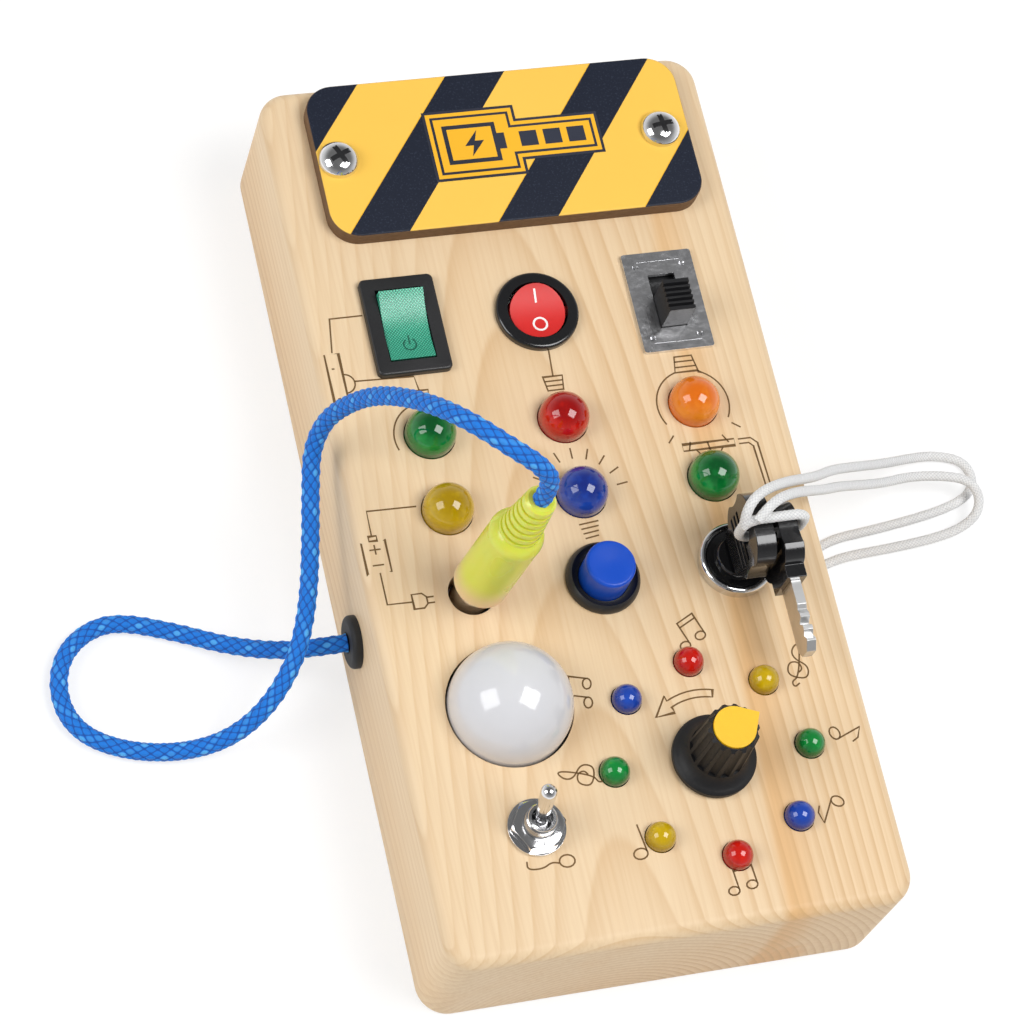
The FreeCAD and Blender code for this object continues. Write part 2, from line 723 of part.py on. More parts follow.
def slide_plate():
    """The chromed plate with its slot and four stake marks."""
    plate = rounded_block(SLIDE_PLATE_W, SLIDE_PLATE_L, SLIDE_PLATE_T, 0.6, COLUMN, SLIDE_Y, FACE)
    slot_w = SLIDE_KNOB_W + 2 * SEAT
    plate = plate.cut(block(slot_w, SLIDE_SLOT_L, SLIDE_PLATE_T, COLUMN, SLIDE_Y, FACE))
    for sx in (-1, 1):
        for sy in (-1, 1):
            x = COLUMN + sx * (SLIDE_PLATE_W / 2 - 2.4)
            y = SLIDE_Y + sy * (SLIDE_PLATE_L / 2 - 3.0)
            plate = plate.cut(Part.makeSphere(0.7, V(x, y, FACE + SLIDE_PLATE_T + 0.35)))
    return plate


def slide_base():
    """The moulded base that holds the slider's foot."""
    base = block(SLIDE_BASE_W, SLIDE_BASE_L, SLIDE_BASE_D, COLUMN, SLIDE_Y, FACE - SLIDE_BASE_D)
    channel_w = SLIDE_KNOB_W + 2 * SLIDE_FOOT + 2 * SEAT
    channel_l = SLIDE_SLOT_L + 2 * SLIDE_FOOT
    depth = FACE - SLIDE_FLOOR
    return base.cut(block(channel_w, channel_l, depth, COLUMN, SLIDE_Y, SLIDE_FLOOR))


def slide_knob():
    """The ribbed finger piece on its foot."""
    foot_w = SLIDE_KNOB_W + 2 * SLIDE_FOOT
    foot_l = SLIDE_KNOB_L + 2 * SLIDE_FOOT
    foot = block(foot_w, foot_l, SLIDE_FOOT_T, COLUMN, SLIDE_KNOB_Y, FACE - SEAT - SLIDE_FOOT_T)
    top = FACE + SLIDE_PLATE_T + SLIDE_KNOB_H
    stem_h = top - FACE + SEAT
    knob = block(SLIDE_KNOB_W, SLIDE_KNOB_L, stem_h, COLUMN, SLIDE_KNOB_Y, FACE - SEAT)
    pitch = SLIDE_KNOB_L / SLIDE_RIBS
    for i in range(SLIDE_RIBS - 1):
        y = SLIDE_KNOB_Y - SLIDE_KNOB_L / 2 + (i + 1) * pitch
        groove = extruded_yz([(y - pitch * 0.3, top), (y, top - 0.8), (y + pitch * 0.3, top)],
                             SLIDE_KNOB_W, COLUMN)
        knob = knob.cut(groove)
    return knob.fuse(foot).removeSplitter()


BUTTON_FLOOR_Z = FACE + BUTTON_CAP_H - BUTTON_CAP_L - BUTTON_LIFT


def button_housing():
    """The dished bezel and threaded neck of the push button."""
    rim = BUTTON_BEZEL_R
    top = FACE + BUTTON_BEZEL_T
    low = FACE - BUTTON_NECK_L
    bore = BUTTON_CAP_R + SLIP
    body = turned([(0, low), (BUTTON_NECK_R, low), (BUTTON_NECK_R, FACE), (rim, FACE),
                   ((rim, FACE + 1.0), (rim - 0.8, top)), ((bore + 0.8, top - 0.9), (bore, top - 1.1)),
                   (0, top - 1.1)], 0, PRESS_ROW)
    body = body.cut(rod(bore, top - BUTTON_FLOOR_Z, 0, PRESS_ROW, BUTTON_FLOOR_Z))
    return body.cut(rod(BUTTON_STEM_R + RUN, BUTTON_NECK_L, 0, PRESS_ROW, low))


def button_cap():
    """The blue cap with its stem."""
    top = FACE + BUTTON_CAP_H
    under = BUTTON_FLOOR_Z + BUTTON_LIFT
    low = BUTTON_FLOOR_Z - BUTTON_TAIL
    cap = turned([(0, low), (BUTTON_STEM_R, low), (BUTTON_STEM_R, under),
                  (BUTTON_CAP_R, under), (BUTTON_CAP_R, top - 0.7),
                  ((BUTTON_CAP_R - 0.2, top - 0.2), (BUTTON_CAP_R - 0.7, top)), (0, top - 0.25)],
                 0, PRESS_ROW)
    return cap


def button_spring():
    """The return spring round the stem, as half-turn arcs."""
    low = BUTTON_FLOOR_Z + SPRING_WIRE_R + RUN
    high = BUTTON_FLOOR_Z + BUTTON_LIFT - SPRING_WIRE_R - RUN
    pitch = (high - low) / SPRING_TURNS
    edges = []
    for i in range(2 * SPRING_TURNS):
        z = low + i * pitch / 2
        side = 1 if i % 2 == 0 else -1
        start = V(side * SPRING_R, PRESS_ROW, z)
        middle = V(0, PRESS_ROW + side * SPRING_R, z + pitch / 4)
        end = V(-side * SPRING_R, PRESS_ROW, z + pitch / 2)
        edges.append(Part.Arc(start, middle, end).toShape())
    path = Part.Wire(edges)
    first = edges[0].tangentAt(edges[0].FirstParameter)
    ring = Part.Wire(Part.makeCircle(SPRING_WIRE_R, V(SPRING_R, PRESS_ROW, low), first))
    coil = path.makePipeShell([ring], True, False)
    print(f"button_spring: least gap between turns {pitch - 2 * SPRING_WIRE_R:.2f}")
    return coil


def toggle_case():
    """The closed case of the toggle switch under the face."""
    top = UNDER
    case = rounded_block(TOGGLE_CASE_W, TOGGLE_CASE_L, TOGGLE_CASE_D, 0.8, TOGGLE_X, TOGGLE_Y,
                         top - TOGGLE_CASE_D)
    return case.cut(rod(TOGGLE_BUSH_R - 0.6, 4.0, TOGGLE_X, TOGGLE_Y, top - 4.0))


TOGGLE_PIVOT_Z = FACE + TOGGLE_PIVOT_H
TOGGLE_BUSH_TOP = FACE + TOGGLE_BUSH_H


def cross_pin(radius, reach):
    """The lever's pin along X through its pivot."""
    start = V(TOGGLE_X - reach, TOGGLE_Y, TOGGLE_PIVOT_Z)
    return Part.makeCylinder(radius, 2 * reach, start, X_AXIS)


def toggle_bushing():
    """The threaded bushing, flared inside for the lever."""
    low = UNDER
    bush = rod(TOGGLE_BUSH_R, TOGGLE_BUSH_TOP - low, TOGGLE_X, TOGGLE_Y, low)
    bush = bush.makeChamfer(0.35, edges_at(bush, TOGGLE_BUSH_TOP))
    seat_r = TOGGLE_BALL_R + RUN
    rise = TOGGLE_BUSH_TOP - TOGGLE_PIVOT_Z
    mouth = LEVER_FOOT_R + SLIP + rise * math.tan(math.radians(TOGGLE_TILT)) + 0.1
    flare = Part.makeCone(seat_r, mouth, rise, V(TOGGLE_X, TOGGLE_Y, TOGGLE_PIVOT_Z))
    bush = bush.cut(flare)
    reach = TOGGLE_BALL_R + TOGGLE_PIN_BITE + SEAT
    bush = bush.cut(cross_pin(TOGGLE_PIN_R + RUN, reach))
    return bush.cut(rod(seat_r, TOGGLE_PIVOT_Z - low, TOGGLE_X, TOGGLE_Y, low))


def toggle_lever():
    """The bat lever, tilted towards the upper end."""
    pivot = TOGGLE_PIVOT_Z
    tip = pivot + LEVER_L
    foot_z = pivot + math.sqrt(TOGGLE_BALL_R ** 2 - LEVER_FOOT_R ** 2)
    tail_z = pivot - math.sqrt(TOGGLE_BALL_R ** 2 - TOGGLE_TAIL_R ** 2)
    low = pivot - TOGGLE_TAIL
    lever = turned([(0, low), (TOGGLE_TAIL_R, low), (TOGGLE_TAIL_R, tail_z),
                    ((TOGGLE_BALL_R, pivot), (LEVER_FOOT_R, foot_z)), (LEVER_TIP_R, tip - LEVER_TIP_R),
                    ((LEVER_TIP_R * SLANT, tip - LEVER_TIP_R * (1 - SLANT)), (0, tip))], TOGGLE_X, TOGGLE_Y)
    lever.rotate(V(TOGGLE_X, TOGGLE_Y, pivot), X_AXIS, -TOGGLE_TILT)
    return lever.fuse(cross_pin(TOGGLE_PIN_R, TOGGLE_BALL_R + TOGGLE_PIN_BITE)).removeSplitter()


def toggle_washer():
    """The flat washer under the toggle's nut."""
    ring = rod(TOGGLE_WASHER_R, TOGGLE_WASHER_T, TOGGLE_X, TOGGLE_Y, FACE)
    return ring.cut(rod(TOGGLE_BUSH_R + SEAT, TOGGLE_WASHER_T, TOGGLE_X, TOGGLE_Y, FACE))


def toggle_nut():
    """The hexagon nut that holds the toggle."""
    base = FACE + TOGGLE_WASHER_T
    return hex_nut(TOGGLE_NUT_AF, TOGGLE_NUT_T, TOGGLE_BUSH_R + RUN, TOGGLE_X, TOGGLE_Y, base)


BARREL_FLOOR = FACE + LOCK_RING_H - LOCK_RECESS_D
BARREL_TOP = BARREL_FLOOR + BARREL_RISE
KEY_TIP = BARREL_TOP + KEY_NECK - KEY_L


def lock_housing():
    """The chromed ring and threaded body of the lock."""
    top = FACE + LOCK_RING_H
    low = FACE - LOCK_BODY_D
    ring = LOCK_RING_R
    body = turned([(0, low), (LOCK_BODY_R, low), (LOCK_BODY_R, FACE), (ring, FACE), (ring, top - 1.0),
                   ((ring - 0.2, top - 0.3), (LOCK_RECESS_R + 0.4, top)), (LOCK_RECESS_R, top - 0.3),
                   (LOCK_RECESS_R, BARREL_FLOOR - 0.6), (0, BARREL_FLOOR - 0.6)], COLUMN, PRESS_ROW)
    for side in (-1, 1):
        flat = block(2.0, 4 * LOCK_BODY_R, LOCK_BODY_D - PANEL, COLUMN + side * (LOCK_BODY_R + 0.4),
                     PRESS_ROW, low)
        body = body.cut(flat)
    bore_z = FACE - BARREL_D - SEAT
    return body.cut(rod(BARREL_R + RUN, FACE + LOCK_RING_H - bore_z, COLUMN, PRESS_ROW, bore_z))


def lock_barrel():
    """The black face and core that turn with the key, with the key's slot."""
    low = FACE - BARREL_D
    face_r = BARREL_FACE_R
    core = turned([(0, low), (BARREL_R, low), (BARREL_R, BARREL_FLOOR - 0.5), (face_r, BARREL_FLOOR - 0.5),
                   (face_r, BARREL_FLOOR), (face_r - 0.3, BARREL_FLOOR + 0.3), (4.6, BARREL_FLOOR + 0.3),
                   (4.3, BARREL_TOP - 0.3), (4.0, BARREL_TOP), (0, BARREL_TOP)], COLUMN, PRESS_ROW)
    slot_low = KEY_TIP - SEAT
    slot_t = KEY_T + 2 * KEY_SLOT_GAP
    slot_w = KEY_W + 2 * KEY_SLOT_GAP
    return core.cut(block(slot_t, slot_w, BARREL_TOP - slot_low, COLUMN, PRESS_ROW, slot_low))


def key_blade_form(x, y, top):
    """A flat blade with notches and a pointed tip, pointing down from its top."""
    half = KEY_W / 2
    low = top - KEY_L
    points = [(y - half, top), (y + half, top), (y + half, low + 1.6), (y + half - 1.6, low),
              (y - half + 1.6, low), (y - half, low + 1.6)]
    for i, cut in enumerate((0.9, 1.5, 0.6)):
        notch = low + 3.0 + 2.6 * i
        points += [(y - half, notch - 0.9), (y - half + cut, notch), (y - half, notch + 0.9)]
    blade = extruded_yz(points, KEY_T, x)
    groove = block(0.5, 1.2, KEY_L - 1.0, x + KEY_T / 2, y + 0.6, low + 1.0)
    return blade.cut(groove)


def key_bow_form(x, y, base):
    """The moulded grip: a narrow neck, waisted sides, grip ribs and the lanyard hole."""
    half = BOW_W / 2
    neck = BOW_NECK_W / 2
    shoulder = base + BOW_NECK_H
    top = base + BOW_H
    side = x - BOW_T / 2
    unit = BOW_H / 16
    hip, waist, crown = (shoulder + share * unit for share in (2.4, 5.4, 8.4))
    bulge = half - 0.9 * unit
    pinch = half - 0.8 * unit
    corner = half - 1.6 * unit
    flat = half - 4.4 * unit

    def at(dy, z):
        return V(side, y + dy, z)

    outline = [
        Part.makeLine(at(-neck, base), at(neck, base)),
        Part.makeLine(at(neck, base), at(neck, shoulder - 0.8 * unit)),
        Part.Arc(at(neck, shoulder - 0.8 * unit), at(bulge, shoulder + 0.6 * unit), at(half, hip)).toShape(),
        Part.Arc(at(half, hip), at(pinch, waist), at(half, crown)).toShape(),
        Part.Arc(at(half, crown), at(corner, top - 1.4 * unit), at(flat, top)).toShape(),
        Part.makeLine(at(flat, top), at(-flat, top)),
        Part.Arc(at(-flat, top), at(-corner, top - 1.4 * unit), at(-half, crown)).toShape(),
        Part.Arc(at(-half, crown), at(-pinch, waist), at(-half, hip)).toShape(),
        Part.Arc(at(-half, hip), at(-bulge, shoulder + 0.6 * unit), at(-neck, shoulder - 0.8 * unit)).toShape(),
        Part.makeLine(at(-neck, shoulder - 0.8 * unit), at(-neck, base)),
    ]
    bow = Part.Face(Part.Wire(outline)).extrude(V(BOW_T, 0, 0))
    for face in (-1, 1):
        for i in range(BOW_RIBS):
            z = shoulder + 1.4 + 1.9 * i
            bow = bow.cut(block(0.9, BOW_W - 5.0, 0.9, x + face * BOW_T / 2, y, z))
    hole = Part.makeCylinder(BOW_HOLE_R, BOW_T, V(side, y, base + BOW_HOLE_H), X_AXIS)
    return bow.cut(hole)


BOW_BASE = BARREL_TOP + KEY_NECK
SPARE_BASE_Y = SPARE_END_Y - BOW_H
HITCH_Y = (PRESS_ROW + SPARE_BASE_Y + BOW_HOLE_H) / 2
HITCH_LOW = (BOW_BASE + BOW_HOLE_H + SPARE_Z) / 2
HITCH_TOP = BOW_BASE + BOW_H + LANYARD_R + HITCH_GAP
HITCH_LEFT = COLUMN - BOW_T / 2 - LANYARD_R - HITCH_GAP
HITCH_RIGHT = SPARE_X + BOW_T / 2 + LANYARD_R + HITCH_GAP


def spare(shape):
    """Lay a key form, built with its bow base at the origin, on its edge beside the lock."""
    shape.rotate(V(0, 0, 0), X_AXIS, -90)
    shape.translate(V(SPARE_X, SPARE_BASE_Y, SPARE_Z))
    return shape


def lanyard_hitch():
    """The lanyard's loop through the holes of both bows and over their edges."""
    corners = [(HITCH_LEFT, HITCH_LOW), (HITCH_RIGHT, HITCH_LOW), (HITCH_RIGHT, HITCH_TOP),
               (HITCH_LEFT, HITCH_TOP)]
    edges = []
    for i, (x, z) in enumerate(corners):
        before = corners[i - 1]
        after = corners[(i + 1) % len(corners)]
        start = V(x, HITCH_Y, z) + step_towards((x, z), before)
        end = V(x, HITCH_Y, z) + step_towards((x, z), after)
        inward = step_towards((x, z), before) + step_towards((x, z), after)
        middle = V(x, HITCH_Y, z) + inward * (1 - SLANT)
        edges.append(Part.Arc(start, middle, end).toShape())
        onward = V(after[0], HITCH_Y, after[1]) + step_towards(after, (x, z))
        edges.append(Part.makeLine(end, onward))
    path = Part.Wire(edges)
    first = edges[1]
    ring = Part.Wire(Part.makeCircle(LANYARD_R, first.Vertexes[0].Point, first.tangentAt(first.FirstParameter)))
    turned_path = Part.Wire(edges[1:] + edges[:1])
    loop = turned_path.makePipeShell([ring], True, False)
    print(f"lanyard_hitch: volume share {loop.Volume / (math.pi * LANYARD_R ** 2 * path.Length):.4f}")
    return loop


def step_towards(here, there):
    """A step of the corner radius from one XZ place towards another."""
    way = V(there[0] - here[0], 0, there[1] - here[1])
    way.normalize()
    return way * HITCH_CORNER_R


# Routes of the free cords, as they lie in the photograph
CORD_ROUTE = [
    (-BOARD_W / 2 - GROMMET_T, GROMMET_Y, GROMMET_Z),
    (-54.4, -20.3, 13.4),
    (-61.4, -17.9, 8.6),
    (-69.0, -13.6, 3.6),
    (-77.6, -9.0, 1.9),
    (-88.4, -5.2, 1.9),
    (-94.9, -6.4, 1.9),
    (-100.0, -10.5, 1.9),
    (-102.5, -16.6, 1.9),
    (-101.7, -23.2, 1.9),
    (-97.8, -28.5, 1.9),
    (-89.6, -32.3, 1.9),
    (-79.7, -33.7, 2.3),
    (-71.4, -33.2, 6.0),
    (-64.6, -30.0, 12.0),
    (-58.9, -23.4, 18.0),
    (-55.4, -14.0, 21.4),
    (-53.4, -3.8, 24.8),
    (-52.0, 6.6, 29.0),
    (-51.2, 12.4, 33.0),
    (-49.2, 15.2, 39.6),
    (-46.6, 13.8, 49.0),
    (-44.0, 9.6, 61.0),
    (-41.0, 2.6, 73.2),
    (-38.3, -4.3, 82.4),
    (-34.9, -10.2, 87.5),
    (-29.8, -15.7, 88.6),
    (-23.9, -18.7, 85.0),
    (-20.6, -19.5, 78.6),
]
UPPER_ROUTE = [
    (28.2, -19.0, 51.8),
    (30.0, -14.6, 50.2),
    (34.2, -11.2, 46.0),
    (40.0, -8.4, 40.0),
    (46.0, -5.6, 34.2),
    (52.9, -2.5, 27.0),
    (62.2, 1.4, 17.5),
    (71.6, 5.0, 8.4),
    (81.0, 8.0, 2.2),
    (86.0, 8.4, 1.1),
    (91.6, 6.8, 1.1),
    (93.4, 3.4, 1.1),
    (92.5, -0.2, 1.1),
    (89.2, -2.5, 1.1),
    (84.0, -4.0, 1.1),
    (78.3, -5.0, 1.1),
    (71.7, -5.9, 1.1),
    (65.4, -6.6, 1.1),
    (59.5, -7.2, 1.1),
    (53.9, -9.6, 1.3),
    (49.4, -14.0, 1.9),
    (48.9, -18.0, 2.5),
]
LOWER_ROUTE = [
    (32.2, -19.0, 51.6),
    (33.8, -15.6, 49.6),
    (37.2, -12.9, 44.6),
    (42.0, -10.6, 37.8),
    (47.6, -8.0, 31.8),
    (54.0, -5.4, 25.0),
    (62.0, -2.4, 16.8),
    (70.4, 0.4, 9.4),
    (77.4, 2.4, 6.1),
    (84.2, 1.9, 5.9),
    (90.1, 0.4, 5.7),
    (92.0, -2.9, 5.2),
    (91.1, -6.6, 4.2),
    (87.8, -8.7, 2.6),
    (82.4, -9.8, 1.3),
    (73.5, -10.6, 1.1),
    (66.3, -11.0, 1.1),
    (60.6, -11.4, 1.1),
    (55.4, -12.8, 1.3),
    (53.0, -14.9, 1.8),
    (52.2, -18.0, 2.5),
]
PLUG_FOOT = SOCKET_RISE + SHELL_GAP


def plug_top():
    """The middle of the plug's upper end, where the cord goes in."""
    reach = FACE + PLUG_FOOT + SHELL_L - LEAN_PIVOT_Z
    lean = math.radians(SOCKET_LEAN)
    return (SOCKET_X + reach * math.sin(lean), SOCKET_Y, LEAN_PIVOT_Z + reach * math.cos(lean))


def socket_sleeve():
    """The nickel sleeve of the socket."""
    low = FACE - SOCKET_TAIL
    sleeve = turned([(PIN_R + RUN, low), (SOCKET_R, low), (SOCKET_R, FACE + SOCKET_RISE - 0.4),
                     (SOCKET_R - 0.4, FACE + SOCKET_RISE), (PIN_R + RUN + 0.3, FACE + SOCKET_RISE),
                     (PIN_R + RUN, FACE + SOCKET_RISE - 0.3)], SOCKET_X, SOCKET_Y)
    return leaning(sleeve)


def socket_nut():
    """The nut that holds the socket under the face."""
    tilt = SOCKET_NUT_AF / math.sqrt(3) * math.sin(math.radians(SOCKET_LEAN))
    base = UNDER - SOCKET_NUT_T - tilt - SEAT
    nut = hex_nut(SOCKET_NUT_AF, SOCKET_NUT_T, SOCKET_R + RUN, SOCKET_X, SOCKET_Y, base)
    return leaning(nut)


def socket_body():
    """The insulating cup behind the socket."""
    top = FACE - SOCKET_TAIL
    cup = rod(SOCKET_BODY_R, SOCKET_BODY_L, SOCKET_X, SOCKET_Y, top - SOCKET_BODY_L)
    cup = soften(cup, 0.6, top - SOCKET_BODY_L)
    return leaning(cup)


def plug_pin():
    """The plug's metal pin with its rounded tip."""
    foot = FACE + PLUG_FOOT
    tip = foot - PIN_L
    pin = turned([(0, tip), ((PIN_R * SLANT, tip + PIN_R * (1 - SLANT)), (PIN_R, tip + PIN_R)),
                  (PIN_R, foot), (0, foot)], SOCKET_X, SOCKET_Y)
    return leaning(pin)


def plug_shell():
    """The yellow moulded shell with its ribbed, tapered neck."""
    foot = FACE + PLUG_FOOT
    shoulder = foot + SHELL_BARREL_L
    top = foot + SHELL_L
    neck = shoulder + 3.4
    shell = turned([(0, foot), (SHELL_R - 0.7, foot), ((SHELL_R - 0.15, foot + 0.2), (SHELL_R, foot + 0.8)),
                    (SHELL_R - 0.1, shoulder), ((SHELL_NECK_R + 0.8, shoulder + 2.4), (SHELL_NECK_R, neck)),
                    (SHELL_TOP_R, top - 0.5), (SHELL_TOP_R - 0.5, top), (0, top)], SOCKET_X, SOCKET_Y)
    pitch = (top - neck - 1.5) / SHELL_RIBS
    for i in range(SHELL_RIBS):
        z = neck + pitch * (i + 0.4)
        share = (z - neck) / (top - neck)
        radius = SHELL_NECK_R + (SHELL_TOP_R - SHELL_NECK_R) * share
        groove = turned([(radius - 0.45, z), (radius + 1.0, z), (radius + 1.0, z + pitch * 0.4),
                         (radius - 0.45, z + pitch * 0.4)], SOCKET_X, SOCKET_Y)
        shell = shell.cut(groove)
    return leaning(shell)


def grommet():
    """The black rubber grommet in the left wall."""
    out = GROMMET_T
    deep = WALL
    ring = turned([(CORD_R + RUN, -deep - 1.5), (GROMMET_R - 0.8, -deep - 1.5), (GROMMET_R - 0.8, -deep - RUN),
                   (GROMMET_NECK_R - RUN, -deep - RUN), (GROMMET_NECK_R - RUN, 0), (GROMMET_R, 0),
                   (GROMMET_R, out - 0.8), ((GROMMET_R - 0.3, out - 0.3), (GROMMET_R - 1.2, out)),
                   (CORD_R + RUN + 0.4, out), (CORD_R + RUN, out - 0.4)], 0, 0)
    ring.rotate(V(0, 0, 0), Y_AXIS, -90)
    ring.translate(V(-BOARD_W / 2, GROMMET_Y, GROMMET_Z))
    return ring


def knob_body():
    """The black fluted knob with its skirt."""
    low = FACE + KNOB_GAP
    top = low + KNOB_H
    rim = low + KNOB_RIM_H
    skirt = low + KNOB_SKIRT_H
    body = turned([(0, low), (KNOB_SKIRT_R, low), (KNOB_SKIRT_R, rim - 0.4), (KNOB_SKIRT_R - 0.4, rim),
                   ((KNOB_FOOT_R + 0.9, rim + 0.9), (KNOB_FOOT_R, skirt)),
                   (KNOB_TOP_R, top - 0.6), (KNOB_TOP_R - 0.6, top), (0, top)], DIAL_X, DIAL_Y)
    lean = math.degrees(math.atan2(KNOB_FOOT_R - KNOB_TOP_R, KNOB_H - KNOB_SKIRT_H))
    flute = Part.makeCylinder(KNOB_FLUTE_R, KNOB_H, V(KNOB_FOOT_R + 0.3, 0, skirt + 0.2))
    flute.rotate(V(KNOB_FOOT_R + 0.3, 0, skirt + 0.2), Y_AXIS, -lean)
    flute.translate(V(DIAL_X, DIAL_Y, 0))
    for i in range(KNOB_FLUTES):
        cutter = flute.copy()
        cutter.rotate(V(DIAL_X, DIAL_Y, 0), Z_AXIS, 360 * (i + 0.5) / KNOB_FLUTES + DIAL_POINTER_DEG)
        body = body.cut(cutter)
    nut_room = ROTARY_NUT_T + KNOB_RECESS_GAP - KNOB_GAP
    body = body.cut(rod(KNOB_RECESS_R, nut_room, DIAL_X, DIAL_Y, low))
    bush_room = ROTARY_BUSH_H + KNOB_RECESS_GAP - KNOB_GAP
    body = body.cut(rod(ROTARY_BUSH_R + KNOB_RECESS_GAP, bush_room, DIAL_X, DIAL_Y, low))
    body = body.cut(rod(SHAFT_R + RUN, SHAFT_H - KNOB_GAP, DIAL_X, DIAL_Y, low))
    socket = knob_cap_form(SEAT, KNOB_CAP_T, top - KNOB_CAP_T + 0.4)
    return body.cut(socket)


def knob_cap_form(grow, thickness, z):
    """A round cap drawn out to a pointer on one side."""
    radius = KNOB_CAP_R + grow
    tip = POINTER_L + grow
    lean = math.acos(radius / tip)
    touch = V(radius * math.cos(lean), radius * math.sin(lean), z)
    mirror = V(touch.x, -touch.y, z)
    arc = Part.Arc(touch, V(-radius, 0, z), mirror).toShape()
    sides = [Part.makeLine(mirror, V(tip, 0, z)), Part.makeLine(V(tip, 0, z), touch)]
    cap = Part.Face(Part.Wire([arc] + sides)).extrude(V(0, 0, thickness))
    cap.rotate(V(0, 0, 0), Z_AXIS, DIAL_POINTER_DEG)
    cap.translate(V(DIAL_X, DIAL_Y, 0))
    return cap


def knob_cap():
    """The yellow pointer cap let into the knob's top."""
    top = FACE + KNOB_GAP + KNOB_H
    return knob_cap_form(0, KNOB_CAP_T, top - KNOB_CAP_T + 0.5)


def rotary_bushing():
    """The brass bushing that carries the knob's shaft."""
    low = UNDER
    bush = rod(ROTARY_BUSH_R, FACE + ROTARY_BUSH_H - low, DIAL_X, DIAL_Y, low)
    return bush.cut(rod(SHAFT_R + RUN, FACE + ROTARY_BUSH_H - low, DIAL_X, DIAL_Y, low))


def rotary_case():
    """The closed case of the rotary switch."""
    low = UNDER - ROTARY_CASE_D
    case = rod(ROTARY_CASE_R, ROTARY_CASE_D, DIAL_X, DIAL_Y, low)
    case = soften(case, 0.6, low)
    return case.cut(rod(SHAFT_R + RUN, 2.4, DIAL_X, DIAL_Y, UNDER - 2.4))


def rotary_shaft():
    """The steel shaft between the case and the knob."""
    low = UNDER - 2.2
    return rod(SHAFT_R, FACE + SHAFT_H - 0.2 - low, DIAL_X, DIAL_Y, low)


def rotary_nut():
    """The nut on the rotary switch's bushing, under the knob."""
    return hex_nut(ROTARY_NUT_AF, ROTARY_NUT_T, ROTARY_BUSH_R + RUN, DIAL_X, DIAL_Y, FACE)


def dome_cover():
    """The white dome with its flange glued under the face."""
    centre = FACE + DOME_RISE
    low = UNDER - DOME_TAIL
    flange = DOME_R + DOME_FLANGE
    inner = DOME_R - DOME_WALL
    return turned([(inner, low), (DOME_R, low), (DOME_R, UNDER - DOME_FLANGE_T), (flange, UNDER - DOME_FLANGE_T),
                   (flange, UNDER), (DOME_R, UNDER), (DOME_R, centre),
                   ((DOME_R * SLANT, centre + DOME_R * SLANT), (0, centre + DOME_R)), (0, centre + inner),
                   ((inner * SLANT, centre + inner * SLANT), (inner, centre))], DOME_X, DOME_Y)


def dome_board():
    """The round lamp board in the dome's tail, with its lamp."""
    low = UNDER - DOME_TAIL + DOME_BOARD_UP
    board = rod(DOME_R - DOME_WALL - SEAT, DOME_BOARD_T, DOME_X, DOME_Y, low)
    lamp = rod(DOME_LAMP_R, DOME_LAMP_H, DOME_X, DOME_Y, low + DOME_BOARD_T)
    lamp = soften(lamp, DOME_LAMP_EDGE, low + DOME_BOARD_T + DOME_LAMP_H)
    return board.fuse(lamp).removeSplitter()


def lamp_form(radius, rise, x, y):
    """A round lamp: flange under the face, straight barrel and domed end."""
    flange = radius + LAMP_FLANGE
    low = UNDER - LAMP_FLANGE_T
    centre = FACE + rise
    return turned([(0, low), (flange, low), (flange, UNDER), (radius, UNDER), (radius, centre),
                   ((radius * SLANT, centre + radius * SLANT), (0, centre + radius))], x, y)


def lamp_leads():
    """Two leads from each lamp down to its board."""
    leads = []
    low = LAMP_BOARD_Z + BOARD_PLATE_T
    high = UNDER - LAMP_FLANGE_T
    for x, y in BIG_PLACES + RING_PLACES:
        for side in (-1, 1):
            leads.append(rod(LEAD_R, high - low, x + side * LEAD_PITCH / 2, y, low))
    return Part.makeCompound(leads)


def lamp_board():
    """The circuit board behind the six large lamps."""
    width = 2 * COLUMN + 2 * LAMP_BOARD_MARGIN
    length = LAMP_ROW_A - LAMP_ROW_B + 2 * LAMP_BOARD_MARGIN
    middle = (LAMP_ROW_A + LAMP_ROW_B) / 2
    board = rounded_block(width, length, BOARD_PLATE_T, 2.0, 0, middle, LAMP_BOARD_Z)
    for sx in (-1, 1):
        x = sx * (width / 2 - POST_HOLE_IN)
        board = board.cut(rod(POST_HOLE_R, BOARD_PLATE_T, x, middle, LAMP_BOARD_Z))
    chip = block(CHIP_W, CHIP_L, CHIP_T, COLUMN / 2, middle, LAMP_BOARD_Z - CHIP_T)
    return board.fuse(chip).removeSplitter()


def ring_board():
    """The ring-shaped circuit board behind the eight small lamps."""
    board = rod(RING_R + RING_BOARD_MARGIN, BOARD_PLATE_T, DIAL_X, DIAL_Y, LAMP_BOARD_Z)
    return board.cut(rod(ROTARY_CASE_R + RING_BOARD_CLEAR, BOARD_PLATE_T, DIAL_X, DIAL_Y, LAMP_BOARD_Z))


def panel_nuts():
    """The nuts that clamp the button, the lock, the dial's switch and the socket to the face."""
    button = hex_nut(BUTTON_NUT_AF, BUTTON_NUT_T, BUTTON_NECK_R + RUN, 0, PRESS_ROW, UNDER - BUTTON_NUT_T)
    lock = hex_nut(LOCK_NUT_AF, LOCK_NUT_T, LOCK_BODY_R + RUN, COLUMN, PRESS_ROW, UNDER - LOCK_NUT_T)
    return Part.makeCompound([button, lock, rotary_nut(), socket_nut()])


